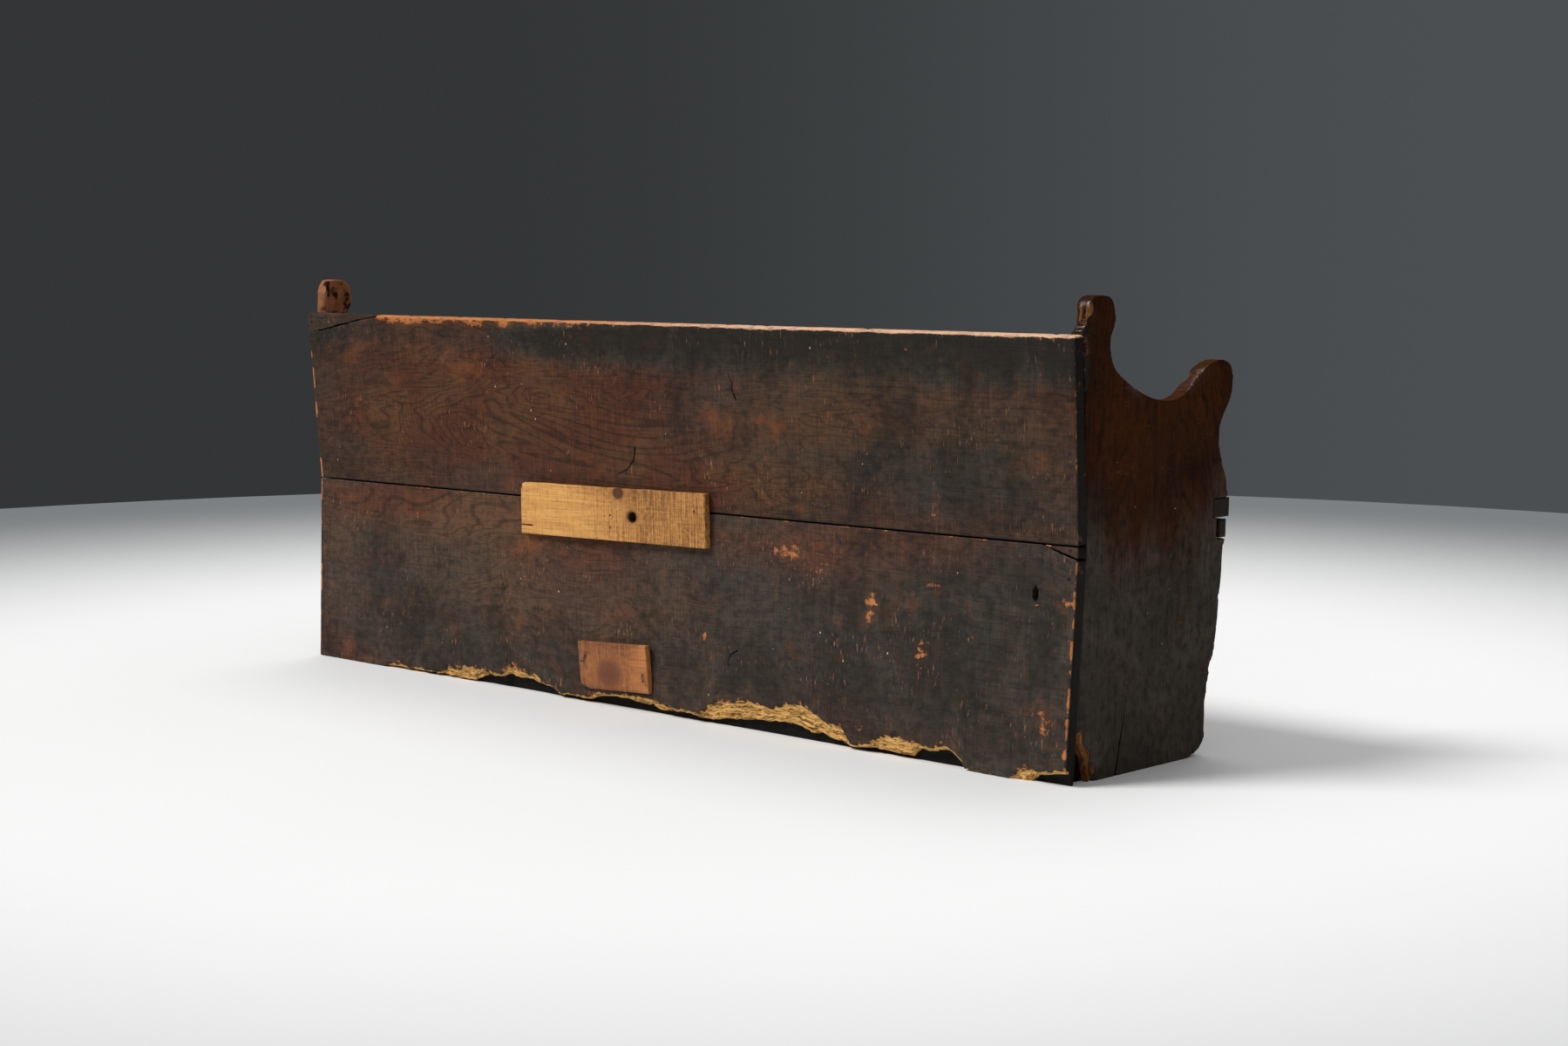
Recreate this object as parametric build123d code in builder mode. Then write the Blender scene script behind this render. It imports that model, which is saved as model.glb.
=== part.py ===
"""A long wooden bench with a two-board back, two shaped end panels and a nailed plank seat.

The frame is +X to the right of someone who stands in front of the bench, +Y to the back and
+Z up, with the origin on the floor under the middle. Depths are measured forwards from the
outer face of the back, at its seam. All sizes are in millimetres and degrees.
"""

import os
from math import atan, atan2, cos, degrees, radians, sin, tan

from build123d import *

# The whole bench
FLOOR_LENGTH = 1994.0
END_SPLAY = 1.235
SEAM_Y = 197.5
JOINT_GAP = 0.5

# The back: two wide boards that meet in a shallow valley, at a seam that runs a little downhill.
# Its top edge climbs a little from the patch to the left end
BACK_T = 26.0
BACK_TOP_Z = 727.5
TOP_CLIMB = 6.5
SEAM_LEFT_Z = 393.7
SEAM_RIGHT_Z = 378.8
SEAM_GAP = 2.5
UPPER_RECLINE = 4.0
LOWER_LEAN = 2.67
TOP_EDGE_R = 5.0
BOARD_EDGE_R = 1.5

# Damage and repairs of the back
PATCH_LENGTH = 233.0
PATCH_DROP = 42.0
PATCH_GAP = 0.8
SLIVER_LENGTH = 66.0
SLIVER_DROP = 18.0
SLIVER_GAP = 0.8
PEG_HOLE_X = -925.0
PEG_HOLE_Z = 306.0
PEG_HOLE_W = 13.0
PEG_HOLE_H = 26.0
# Each bite that rot has taken from the bottom edge: place along X, half width, height
ROT_BITES = (
    (640.0, 150.0, 5.0),
    (368.0, 132.0, 25.0),
    (50.0, 112.0, 20.0),
    (-110.0, 70.0, 13.0),
    (-345.0, 172.0, 23.0),
    (-570.0, 70.0, 8.0),
    (-730.0, 62.0, 27.0),
)

# The board nailed over the seam, and the small block nailed above the bottom edge
CLEAT_X = 84.0
CLEAT_Z = 369.0
CLEAT_LENGTH = 511.0
CLEAT_H = 101.0
CLEAT_T = 14.0
CLEAT_TILT = 1.2
CLEAT_CORNER_R = 7.0
KNOT_HOLE_X = 24.0
KNOT_HOLE_Z = 366.0
KNOT_HOLE_D = 19.0
SAW_CUT_LENGTH = 34.0
SAW_CUT_H = 2.2
SAW_CUT_RISE = 17.0
BLOCK_X = 69.0
BLOCK_Z = 80.0
BLOCK_W = 190.0
BLOCK_H = 91.0
BLOCK_T = 12.5
BLOCK_TILT = 3.0
BLOCK_CHIP_W = 22.0
BLOCK_CHIP_H = 9.0

# The seat: a front board with ears through the end panels, and a rear board
SEAT_TOP_Z = 444.0
SEAT_T = 33.0
SEAT_NOSE = 428.0
SEAT_SPLIT = 222.0
SEAT_BOARD_GAP = 2.0
SEAT_BACK_GAP = 0.6
EAR_DEPTH = 48.0
NOSE_R = 6.0

# The apron under the seat's front edge, with a lug at each end
APRON_FRONT = 420.0
APRON_T = 20.0
APRON_H = 118.0
LUG_H = 31.0
LUG_DROP = 4.0
LUG_SLACK = 8.0
LUG_SLACK_BELOW = 2.0

# Bearers, ledger and batten under the seat
BEARER_T = 30.0
BEARER_H = 40.0
LEDGER_T = 30.0
LEDGER_H = 48.0
LEDGER_GAP = 0.2
BATTEN_W = 70.0
BATTEN_T = 25.0

# The end panels: outline points as depths and heights from the seat and the top of the back
END_T = 28.0
END_FRONT = 422.0
FINIAL_RISE = 70.0
FINIAL_SETBACK = 7.0
FINIAL_OVERHANG = 4.0
FINIAL_DEPTH = 76.0
FINIAL_SIDE_RISE = 44.0
NAPE_LEAN = 4.0
FINIAL_BROW_RISE = 30.0
SHOULDER_RISE = 8.0
NECK_IN = 12.0
NECK_DROP = 5.5
SWOOP_OUT = 40.0
SWOOP_RISE = 210.0
DIP_SETBACK = 177.0
DIP_RISE = 175.5
ARM_RISE = 238.0
ARM_TOP_SETBACK = 32.0
ARM_OVERHANG = 5.0
ARM_TIP_RISE = 198.0
WAIST_RISE = 108.0
WAIST_IN = 32.0
HIP_RISE = 6.0
THIGH_IN = 4.0
KNEE_DROP = 222.0
KNEE_IN = 17.0
ANKLE_Z = 95.0
FOOT_IN = 45.0
FOOT_R = 42.0
HEEL_ROT_DEPTH = 42.0
HEEL_ROT_H = 72.0
HEEL_ROT_T = 18.0

# Forged nails with eight-sided heads, and the later wire nails of the two repairs
NAIL_SHANK = 4.0
NAIL_HEAD = 9.5
NAIL_HEAD_T = 1.8
NAIL_HEAD_SIDES = 8
NAIL_HEAD_TAPER = 40.0
NAIL_POINT = 8.0
NAIL_TIP = 0.8
NAIL_GAP = 0.1
BOARD_NAIL_LENGTH = 62.0
SEAT_NAIL_LENGTH = 52.0
FRAME_NAIL_LENGTH = 50.0
CLEAT_NAIL_LENGTH = 36.0
UPPER_NAIL_ZS = (430.0, 545.0, 655.0)
LOWER_NAIL_ZS = (150.0, 245.0, 340.0)
PATCH_NAIL_DROP = 18.0
SLIVER_NAIL_DROP = 7.0
CLEAT_NAIL_SPOTS = ((0.0, -2.0), (0.0, -26.0), (-226.0, 16.0))
SEAT_NAIL_XS = (-820.0, -410.0, 0.0, 410.0, 820.0)
SEAT_NAIL_INSET = 55.0
SEAT_NAIL_EDGE = 110.0
LEDGER_NAIL_XS = (-700.0, -250.0, 250.0, 700.0)
LEDGER_NAIL_INSET = 9.0
BEARER_NAIL_INSET = 45.0
WIRE_D = 2.6
WIRE_HEAD = 5.5
WIRE_HEAD_T = 1.0
WIRE_BEND_R = 3.2
WIRE_DEPTH = 26.0
WIRE_SIDES = 10
# Each bent nail: place on the block from its middle, length bent over, direction of the bend
BENT_NAILS = ((73.0, 22.0, 18.0, -58.0), (-82.0, -10.0, 14.0, -106.0))

# Values that follow from the sizes above
splay = radians(END_SPLAY)
recline = radians(UPPER_RECLINE)
lean = radians(LOWER_LEAN)
panel_inset = END_T / cos(splay)
bend_z = (SEAM_LEFT_Z + SEAM_RIGHT_Z) / 2
seat_under = SEAT_TOP_Z - SEAT_T
apron_back = APRON_FRONT - APRON_T
lug_top = seat_under - LUG_DROP
lug_bottom = lug_top - LUG_H


def half_length(z):
    """Distance from the middle of the bench to an end panel's outer face, at a height."""
    return FLOOR_LENGTH / 2 + z * tan(splay)


def upper_inner(z):
    """Depth of the upper back board's inner face at a height."""
    return BACK_T / cos(recline) - (z - bend_z) * tan(recline)


def lower_inner(z):
    """Depth of the lower back board's inner face at a height."""
    return BACK_T / cos(lean) - (bend_z - z) * tan(lean)


def depth_plane(depth):
    """Upright plane across the bench at a depth, facing forwards, with +X and +Z as its axes."""
    return Plane.XZ.offset(depth - SEAM_Y)


def panel_plane(side, inset):
    """Plane parallel to one end panel's outer face, a level distance inside it, facing inwards."""
    return Plane((side * (FLOOR_LENGTH / 2 - inset), 0, 0), z_dir=(-side, 0, tan(splay)))


def span(low_z, high_z, inset):
    """Corners of a slice between two heights that ends inside both canted outer faces."""
    low = half_length(low_z) - inset
    high = half_length(high_z) - inset
    return [(-low, low_z), (low, low_z), (high, high_z), (-high, high_z)]


# Planes on the outer faces of the back boards: +X across, up along the board, facing forwards
upper_plane = Plane((0, SEAM_Y, bend_z), x_dir=(1, 0, 0), z_dir=(0, -cos(recline), sin(recline)))
lower_plane = Plane((0, SEAM_Y, bend_z), x_dir=(1, 0, 0), z_dir=(0, -cos(lean), -sin(lean)))
side_plane = Plane((0, SEAM_Y, 0), x_dir=(0, -1, 0), z_dir=(-1, 0, 0))


def on_upper(x, z):
    """Point on the upper board's outer face, in that board's own plane."""
    return (x, (z - bend_z) / cos(recline))


def on_lower(x, z):
    """Point on the lower board's outer face, in that board's own plane."""
    return (x, (z - bend_z) / cos(lean))


def make_nail(length):
    """Forged nail, driven along +Z from a surface at Z = 0."""
    point_taper = degrees(atan2((NAIL_SHANK - NAIL_TIP) / 2, NAIL_POINT))
    with BuildPart() as nail:
        with BuildSketch():
            Rectangle(NAIL_SHANK, NAIL_SHANK)
        extrude(amount=length - NAIL_POINT)
        with BuildSketch(Plane.XY.offset(length - NAIL_POINT)):
            Rectangle(NAIL_SHANK, NAIL_SHANK)
        extrude(amount=NAIL_POINT, taper=point_taper)
        with BuildSketch():
            RegularPolygon(NAIL_HEAD / 2, NAIL_HEAD_SIDES)
        extrude(amount=-NAIL_HEAD_T, taper=NAIL_HEAD_TAPER)
    return nail.part


def make_nail_hole(length, head_room=0):
    """Room for a forged nail, and for its head if it is sunk, to cut from what it passes through."""
    with BuildPart() as hole:
        with BuildSketch():
            Rectangle(NAIL_SHANK + 2 * NAIL_GAP, NAIL_SHANK + 2 * NAIL_GAP)
        extrude(amount=length + NAIL_GAP)
        if head_room:
            with BuildSketch():
                RegularPolygon(NAIL_HEAD / 2 + NAIL_GAP, NAIL_HEAD_SIDES)
            extrude(amount=-head_room)
    return hole.part


def make_wire_nail(length):
    """Straight wire nail, driven along +Z from under its head at Z = 0."""
    with BuildPart() as nail:
        with BuildSketch():
            RegularPolygon(WIRE_D / 2, WIRE_SIDES)
        extrude(amount=length)
        with BuildSketch():
            RegularPolygon(WIRE_HEAD / 2, WIRE_SIDES)
        extrude(amount=-WIRE_HEAD_T)
    return nail.part


def make_bent_nail(bent):
    """Wire nail driven along +Z, with the rest bent over along +X, just clear of the surface."""
    with BuildPart() as nail:
        with BuildLine(Plane.XZ) as run:
            Line((0, WIRE_DEPTH), (0, 0))
            bend = JernArc((0, 0), (0, -1), WIRE_BEND_R, 90)
            Line(bend @ 1, (bent, -WIRE_BEND_R))
        with BuildSketch(Plane((0, 0, WIRE_DEPTH), z_dir=(0, 0, -1))):
            RegularPolygon(WIRE_D / 2, WIRE_SIDES)
        sweep(path=run.line)
        with BuildSketch(Plane((bent, 0, -WIRE_BEND_R), z_dir=(1, 0, 0))):
            RegularPolygon(WIRE_HEAD / 2, WIRE_SIDES)
        extrude(amount=WIRE_HEAD_T)
    return nail.part


def make_wire_hole(length, head_room=0):
    """Room for a wire nail's driven stretch, and for its head if it is sunk."""
    with BuildPart() as hole:
        with BuildSketch():
            RegularPolygon(WIRE_D / 2 + NAIL_GAP, WIRE_SIDES)
        extrude(amount=length + NAIL_GAP)
        if head_room:
            with BuildSketch():
                RegularPolygon(WIRE_HEAD / 2 + NAIL_GAP, WIRE_SIDES)
            extrude(amount=-head_room)
    return hole.part


wire_hole = make_wire_hole(WIRE_DEPTH)
board_nail = make_nail(BOARD_NAIL_LENGTH)
board_nail_hole = make_nail_hole(BOARD_NAIL_LENGTH, head_room=NAIL_HEAD_T)
seat_nail = make_nail(SEAT_NAIL_LENGTH)
seat_nail_hole = make_nail_hole(SEAT_NAIL_LENGTH, head_room=NAIL_HEAD_T)
frame_nail = make_nail(FRAME_NAIL_LENGTH)
frame_nail_hole = make_nail_hole(FRAME_NAIL_LENGTH)
cleat_nail = make_wire_nail(CLEAT_NAIL_LENGTH)
cleat_nail_hole = make_wire_hole(CLEAT_NAIL_LENGTH, head_room=WIRE_HEAD_T)


def panel_nail_x(side, z):
    """Place along X of a nail that enters the middle of an end panel's back edge."""
    return side * (half_length(z) - panel_inset / 2)


# Nails through the back have their heads sunk flush with its outer face
upper_nail_spots = [
    upper_plane.location * Location((*on_upper(panel_nail_x(side, z), z), NAIL_HEAD_T))
    for side in (-1, 1)
    for z in UPPER_NAIL_ZS
]
lower_nail_spots = [
    lower_plane.location * Location((*on_lower(panel_nail_x(side, z), z), NAIL_HEAD_T))
    for side in (-1, 1)
    for z in LOWER_NAIL_ZS
]
patch_nail_z = BACK_TOP_Z - PATCH_NAIL_DROP
patch_nail_spot = upper_plane.location * Location(
    (*on_upper(panel_nail_x(1, patch_nail_z), patch_nail_z), NAIL_HEAD_T)
)
sliver_nail_z = SEAM_LEFT_Z - SLIVER_NAIL_DROP
sliver_nail_spot = lower_plane.location * Location(
    (*on_lower(panel_nail_x(-1, sliver_nail_z), sliver_nail_z), NAIL_HEAD_T)
)

# The ledger stands against the most forward line of the two boards' inner faces
ledger_back = max(lower_inner(SEAM_LEFT_Z), upper_inner(SEAM_RIGHT_Z)) + LEDGER_GAP
ledger_front = ledger_back + LEDGER_T
ledger_nail_zs = (
    seat_under - LEDGER_NAIL_INSET,
    seat_under - LEDGER_H + LEDGER_NAIL_INSET,
)
ledger_nail_spots = [
    Plane((x, SEAM_Y - ledger_front, z), x_dir=(1, 0, 0), z_dir=(0, 1, 0)).location
    for x in LEDGER_NAIL_XS
    for z in ledger_nail_zs
]

# The bearers run from the ledger to the apron
bearer_back = ledger_front + JOINT_GAP
bearer_front = apron_back - JOINT_GAP
bearer_nail_depths = (
    bearer_back + BEARER_NAIL_INSET,
    (bearer_back + bearer_front) / 2,
    bearer_front - BEARER_NAIL_INSET,
)
bearer_nail_z = seat_under - BEARER_H / 2
bearer_nail_x = half_length(bearer_nail_z) - panel_inset - BEARER_T / cos(splay)
bearer_nail_spots = [
    Plane(
        (side * bearer_nail_x, SEAM_Y - depth, bearer_nail_z),
        x_dir=(0, 1, 0),
        z_dir=(side * cos(splay), 0, -sin(splay)),
    ).location
    for side in (-1, 1)
    for depth in bearer_nail_depths
]

# Seat nails go down into the apron, the ledger, the bearers and the batten
bearer_middle_x = half_length(seat_under) - panel_inset - BEARER_T / 2
seat_back = upper_inner(seat_under) + SEAT_BACK_GAP
front_nail_rows = (SEAT_SPLIT + SEAT_NAIL_INSET, SEAT_NOSE - SEAT_NAIL_EDGE)
rear_nail_rows = (SEAT_SPLIT - SEAT_NAIL_INSET, seat_back + SEAT_NAIL_EDGE)


def seat_nail_at(x, depth):
    """Downward nail through the seat, with its head sunk flush with the top face."""
    under_head = (x, SEAM_Y - depth, SEAT_TOP_Z - NAIL_HEAD_T)
    return Plane(under_head, x_dir=(1, 0, 0), z_dir=(0, 0, -1)).location


front_seat_spots = [seat_nail_at(x, APRON_FRONT - APRON_T / 2) for x in SEAT_NAIL_XS]
rear_seat_spots = [seat_nail_at(x, ledger_back + LEDGER_T / 2) for x in SEAT_NAIL_XS]
for across in (-bearer_middle_x, 0, bearer_middle_x):
    front_seat_spots += [seat_nail_at(across, row) for row in front_nail_rows]
    rear_seat_spots += [seat_nail_at(across, row) for row in rear_nail_rows]


# The long cleat bridges the valley at the seam, and touches one board with each long edge
cleat_tilt = radians(CLEAT_TILT)
cleat_reach_z = CLEAT_H / 2 * cos(cleat_tilt) + CLEAT_LENGTH / 2 * sin(cleat_tilt)
cleat_high_y = (CLEAT_Z + cleat_reach_z - bend_z) * tan(recline)
cleat_low_y = (bend_z - CLEAT_Z + cleat_reach_z) * tan(lean)
cleat_lean = atan((cleat_low_y - cleat_high_y) / (2 * cleat_reach_z))
cleat_plane = Plane(
    (CLEAT_X, SEAM_Y + (cleat_low_y + cleat_high_y) / 2, CLEAT_Z),
    x_dir=(cos(cleat_tilt), 0, -sin(cleat_tilt)),
    z_dir=(0, -cos(cleat_lean), -sin(cleat_lean)),
)
cleat_nail_spots = [
    cleat_plane.location * Location((x, y, WIRE_HEAD_T - CLEAT_T)) for x, y in CLEAT_NAIL_SPOTS
]

# The small block lies flat on the lower board
block_plane = Plane(
    lower_plane.from_local_coords((*on_lower(BLOCK_X, BLOCK_Z), 0)),
    x_dir=(cos(radians(BLOCK_TILT)), 0, -sin(radians(BLOCK_TILT))),
    z_dir=lower_plane.z_dir,
)
bent_nail_spots = [
    block_plane.location * Location((x, y, -BLOCK_T), (0, 0, turn)) for x, y, bent, turn in BENT_NAILS
]


def make_end_panel(side, seam_z, shoulder_z, setback):
    """One end panel: a wide upright board with a knob, a swooping arm and a waisted front edge."""
    finial_back = upper_inner(BACK_TOP_Z) + setback
    finial_front = finial_back + FINIAL_DEPTH
    finial_top = BACK_TOP_Z + FINIAL_RISE
    shoulder = (upper_inner(shoulder_z), shoulder_z)
    finial_foot = (finial_back, shoulder_z + FINIAL_SETBACK / 2)
    finial_nape = (finial_back + NAPE_LEAN, BACK_TOP_Z + FINIAL_SIDE_RISE)
    crown = ((finial_nape[0] + finial_front) / 2, finial_top)
    brow = (finial_front, BACK_TOP_Z + FINIAL_BROW_RISE)
    neck = (finial_front - NECK_IN, BACK_TOP_Z - NECK_DROP)
    swoop = (finial_front + SWOOP_OUT, SEAT_TOP_Z + SWOOP_RISE)
    dip = (END_FRONT - DIP_SETBACK, SEAT_TOP_Z + DIP_RISE)
    arm_top = (END_FRONT - ARM_TOP_SETBACK, SEAT_TOP_Z + ARM_RISE)
    arm_tip = (END_FRONT + ARM_OVERHANG, SEAT_TOP_Z + ARM_TIP_RISE)
    waist = (END_FRONT - WAIST_IN, SEAT_TOP_Z + WAIST_RISE)
    hip = (END_FRONT, SEAT_TOP_Z + HIP_RISE)
    thigh = (END_FRONT - THIGH_IN, lug_bottom)
    knee = (END_FRONT - KNEE_IN, SEAT_TOP_Z - KNEE_DROP)
    ankle = (END_FRONT - FOOT_IN, ANKLE_Z)
    toe = (END_FRONT - FOOT_IN, FOOT_R)
    sole = (END_FRONT - FOOT_IN - FOOT_R, 0)
    heel = (lower_inner(0), 0)
    with BuildPart() as panel:
        with BuildSketch(side_plane):
            with BuildLine():
                Polyline(
                    heel,
                    (lower_inner(seam_z), seam_z),
                    (upper_inner(seam_z), seam_z),
                    shoulder,
                    finial_foot,
                    finial_nape,
                )
                Spline(
                    finial_nape,
                    crown,
                    brow,
                    tangents=[(NAPE_LEAN, finial_nape[1] - finial_foot[1]), (0, -1)],
                )
                Spline(brow, neck, tangents=[(0, -1), (0, -1)])
                Spline(neck, swoop, dip, tangents=[(0, -1), (1, 0)])
                Spline(dip, arm_top, tangents=[(1, 0), (1, 0)])
                Spline(arm_top, arm_tip, tangents=[(1, 0), (0, -1)])
                Spline(arm_tip, waist, tangents=[(0, -1), (0, -1)])
                Spline(waist, hip, tangents=[(0, -1), (0, -1)])
                Polyline(hip, thigh, knee)
                Spline(knee, ankle, tangents=[(knee[0] - thigh[0], knee[1] - thigh[1]), (0, -1)])
                Line(ankle, toe)
                Spline(toe, sole, tangents=[(0, -1), (-2, -1)])
                Line(sole, heel)
            make_face()
        extrude(amount=-side * half_length(finial_top))
        split(bisect_by=panel_plane(side, 0))
        split(bisect_by=panel_plane(side, panel_inset), keep=Keep.BOTTOM)
        with BuildSketch(side_plane):
            with BuildLine():
                Polyline(
                    (SEAT_NOSE - EAR_DEPTH - JOINT_GAP, SEAT_TOP_Z + JOINT_GAP),
                    (SEAT_NOSE + JOINT_GAP, SEAT_TOP_Z + JOINT_GAP),
                    (SEAT_NOSE + JOINT_GAP, lug_bottom - LUG_SLACK_BELOW),
                    (apron_back - LUG_SLACK, lug_bottom - LUG_SLACK_BELOW),
                    (apron_back - LUG_SLACK, seat_under - JOINT_GAP),
                    (SEAT_NOSE - EAR_DEPTH - JOINT_GAP, seat_under - JOINT_GAP),
                    close=True,
                )
            make_face()
        extrude(amount=-side * half_length(finial_top), mode=Mode.SUBTRACT)
        with Locations(*upper_nail_spots, *lower_nail_spots, patch_nail_spot, sliver_nail_spot):
            add(board_nail_hole, mode=Mode.SUBTRACT)
        with Locations(*bearer_nail_spots):
            add(frame_nail_hole, mode=Mode.SUBTRACT)
        if side < 0:
            with BuildSketch(side_plane.offset(FLOOR_LENGTH / 2 - HEEL_ROT_T)):
                with Locations(heel):
                    Ellipse(HEEL_ROT_DEPTH, HEEL_ROT_H)
            extrude(amount=END_T, mode=Mode.SUBTRACT)
    return panel


top_left_z = BACK_TOP_Z + TOP_CLIMB
left_end_panel = make_end_panel(-1, SEAM_LEFT_Z, top_left_z + SHOULDER_RISE, FINIAL_SETBACK)
right_end_panel = make_end_panel(1, SEAM_RIGHT_Z, BACK_TOP_Z + SHOULDER_RISE, -FINIAL_OVERHANG)

# Upper back board: reclined, with its top right corner split off along a slanted joint
patch_grown = 1 + PATCH_GAP / PATCH_DROP
top_half = half_length(BACK_TOP_Z)


def patch_corner(drop):
    """Point on the board's right end, a drop below the top of the back."""
    return on_upper(half_length(BACK_TOP_Z - drop), BACK_TOP_Z - drop)


with BuildPart() as upper_back_board:
    with BuildSketch(upper_plane):
        Polygon(
            on_upper(-half_length(SEAM_LEFT_Z), SEAM_LEFT_Z + SEAM_GAP / 2),
            on_upper(half_length(SEAM_RIGHT_Z), SEAM_RIGHT_Z + SEAM_GAP / 2),
            patch_corner(PATCH_DROP * patch_grown),
            on_upper(top_half - PATCH_LENGTH * patch_grown, BACK_TOP_Z),
            on_upper(-half_length(top_left_z), top_left_z),
            align=None,
        )
    extrude(amount=BACK_T)
    long_edges = upper_back_board.edges().sort_by(SortBy.LENGTH)[-4:]
    fillet(long_edges.sort_by(Axis.Z)[-2:], TOP_EDGE_R)
    with Locations(*upper_nail_spots):
        add(board_nail_hole, mode=Mode.SUBTRACT)
    with Locations(*ledger_nail_spots):
        add(frame_nail_hole, mode=Mode.SUBTRACT)
    with Locations(*cleat_nail_spots):
        add(cleat_nail_hole, mode=Mode.SUBTRACT)

with BuildPart() as corner_patch:
    with BuildSketch(upper_plane):
        Polygon(
            on_upper(top_half - PATCH_LENGTH, BACK_TOP_Z),
            patch_corner(PATCH_DROP),
            on_upper(top_half, BACK_TOP_Z),
            align=None,
        )
    extrude(amount=BACK_T)
    fillet(corner_patch.edges().filter_by(Axis.X).group_by(Axis.Z)[-1], BOARD_EDGE_R)
    with Locations(patch_nail_spot):
        add(board_nail_hole, mode=Mode.SUBTRACT)

# Lower back board: leans out to the floor, chewed by rot, with a sliver split off at the seam
seam_fall = (SEAM_LEFT_Z - SEAM_RIGHT_Z) / FLOOR_LENGTH
sliver_grown = 1 + SLIVER_GAP / SLIVER_DROP
lower_top_left = SEAM_LEFT_Z - SEAM_GAP / 2


def sliver_tip(length):
    """Point on the lower board's top edge, a length in from its left end."""
    return on_lower(length - half_length(SEAM_LEFT_Z), lower_top_left - length * seam_fall)


def sliver_end(drop):
    """Point on the lower board's left end, a drop below its top edge."""
    return on_lower(-half_length(lower_top_left - drop), lower_top_left - drop)


with BuildPart() as lower_back_board:
    with BuildSketch(lower_plane):
        Polygon(
            on_lower(-half_length(0), -BACK_T),
            on_lower(half_length(0), -BACK_T),
            on_lower(half_length(SEAM_RIGHT_Z), SEAM_RIGHT_Z - SEAM_GAP / 2),
            sliver_tip(SLIVER_LENGTH * sliver_grown),
            sliver_end(SLIVER_DROP * sliver_grown),
            align=None,
        )
        with Locations(on_lower(PEG_HOLE_X, PEG_HOLE_Z)):
            SlotOverall(PEG_HOLE_H, PEG_HOLE_W, rotation=90, mode=Mode.SUBTRACT)
        for bite_x, bite_half_width, bite_h in ROT_BITES:
            with Locations(on_lower(bite_x, 0)):
                Ellipse(bite_half_width, bite_h, mode=Mode.SUBTRACT)
    extrude(amount=BACK_T)
    split(bisect_by=Plane.XY)
    with Locations(*lower_nail_spots, sliver_nail_spot):
        add(board_nail_hole, mode=Mode.SUBTRACT)
    with Locations(*ledger_nail_spots):
        add(frame_nail_hole, mode=Mode.SUBTRACT)
    with Locations(*cleat_nail_spots):
        add(cleat_nail_hole, mode=Mode.SUBTRACT)
    with Locations(*bent_nail_spots):
        add(wire_hole, mode=Mode.SUBTRACT)

with BuildPart() as seam_sliver:
    with BuildSketch(lower_plane):
        Polygon(
            sliver_tip(SLIVER_LENGTH),
            sliver_tip(0),
            sliver_end(SLIVER_DROP),
            align=None,
        )
    extrude(amount=BACK_T)
    with Locations(sliver_nail_spot):
        add(board_nail_hole, mode=Mode.SUBTRACT)

# Long cleat over the seam, with a knot hole and a saw cut in one end
with BuildPart() as seam_cleat:
    with BuildSketch(cleat_plane) as cleat_face:
        Rectangle(CLEAT_LENGTH, CLEAT_H)
        fillet(cleat_face.vertices().sort_by(Axis((0, 0, 0), (1, 1, 0)))[-1], CLEAT_CORNER_R)
        with Locations((KNOT_HOLE_X - CLEAT_X, KNOT_HOLE_Z - CLEAT_Z)):
            Circle(KNOT_HOLE_D / 2, mode=Mode.SUBTRACT)
        with Locations((CLEAT_LENGTH / 2, SAW_CUT_RISE - CLEAT_H / 2)):
            Rectangle(2 * SAW_CUT_LENGTH, SAW_CUT_H, mode=Mode.SUBTRACT)
    extrude(amount=-CLEAT_T)
    with Locations(*cleat_nail_spots):
        add(cleat_nail_hole, mode=Mode.SUBTRACT)

# Small block, with one bottom corner broken off
with BuildPart() as bottom_block:
    with BuildSketch(block_plane):
        Polygon(
            (-BLOCK_W / 2, -BLOCK_H / 2),
            (BLOCK_W / 2 - BLOCK_CHIP_W, -BLOCK_H / 2),
            (BLOCK_W / 2, BLOCK_CHIP_H - BLOCK_H / 2),
            (BLOCK_W / 2, BLOCK_H / 2),
            (-BLOCK_W / 2, BLOCK_H / 2),
            align=None,
        )
    extrude(amount=-BLOCK_T)
    block_depth = Axis(block_plane.origin, block_plane.z_dir)
    fillet(bottom_block.edges().group_by(block_depth)[0], BOARD_EDGE_R)
    with Locations(*bent_nail_spots):
        add(wire_hole, mode=Mode.SUBTRACT)

# Seat boards, with the front one's ears flush with the end panels' outer faces
with BuildPart() as front_seat_board:
    with BuildSketch(depth_plane(SEAT_SPLIT + SEAT_BOARD_GAP / 2)):
        Polygon(*span(seat_under, SEAT_TOP_Z, panel_inset + JOINT_GAP), align=None)
    extrude(amount=SEAT_NOSE - SEAT_SPLIT - SEAT_BOARD_GAP / 2)
    with BuildSketch(depth_plane(SEAT_NOSE - EAR_DEPTH)):
        Polygon(*span(seat_under, SEAT_TOP_Z, 0), align=None)
    extrude(amount=EAR_DEPTH)
    fillet(front_seat_board.edges().filter_by(Axis.X).group_by(Axis.Y)[0], NOSE_R)
    with Locations(*front_seat_spots):
        add(seat_nail_hole, mode=Mode.SUBTRACT)

with BuildPart() as rear_seat_board:
    with BuildSketch(depth_plane(seat_back)):
        Polygon(*span(seat_under, SEAT_TOP_Z, panel_inset + JOINT_GAP), align=None)
    extrude(amount=SEAT_SPLIT - SEAT_BOARD_GAP / 2 - seat_back)
    with Locations(*rear_seat_spots):
        add(seat_nail_hole, mode=Mode.SUBTRACT)

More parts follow.
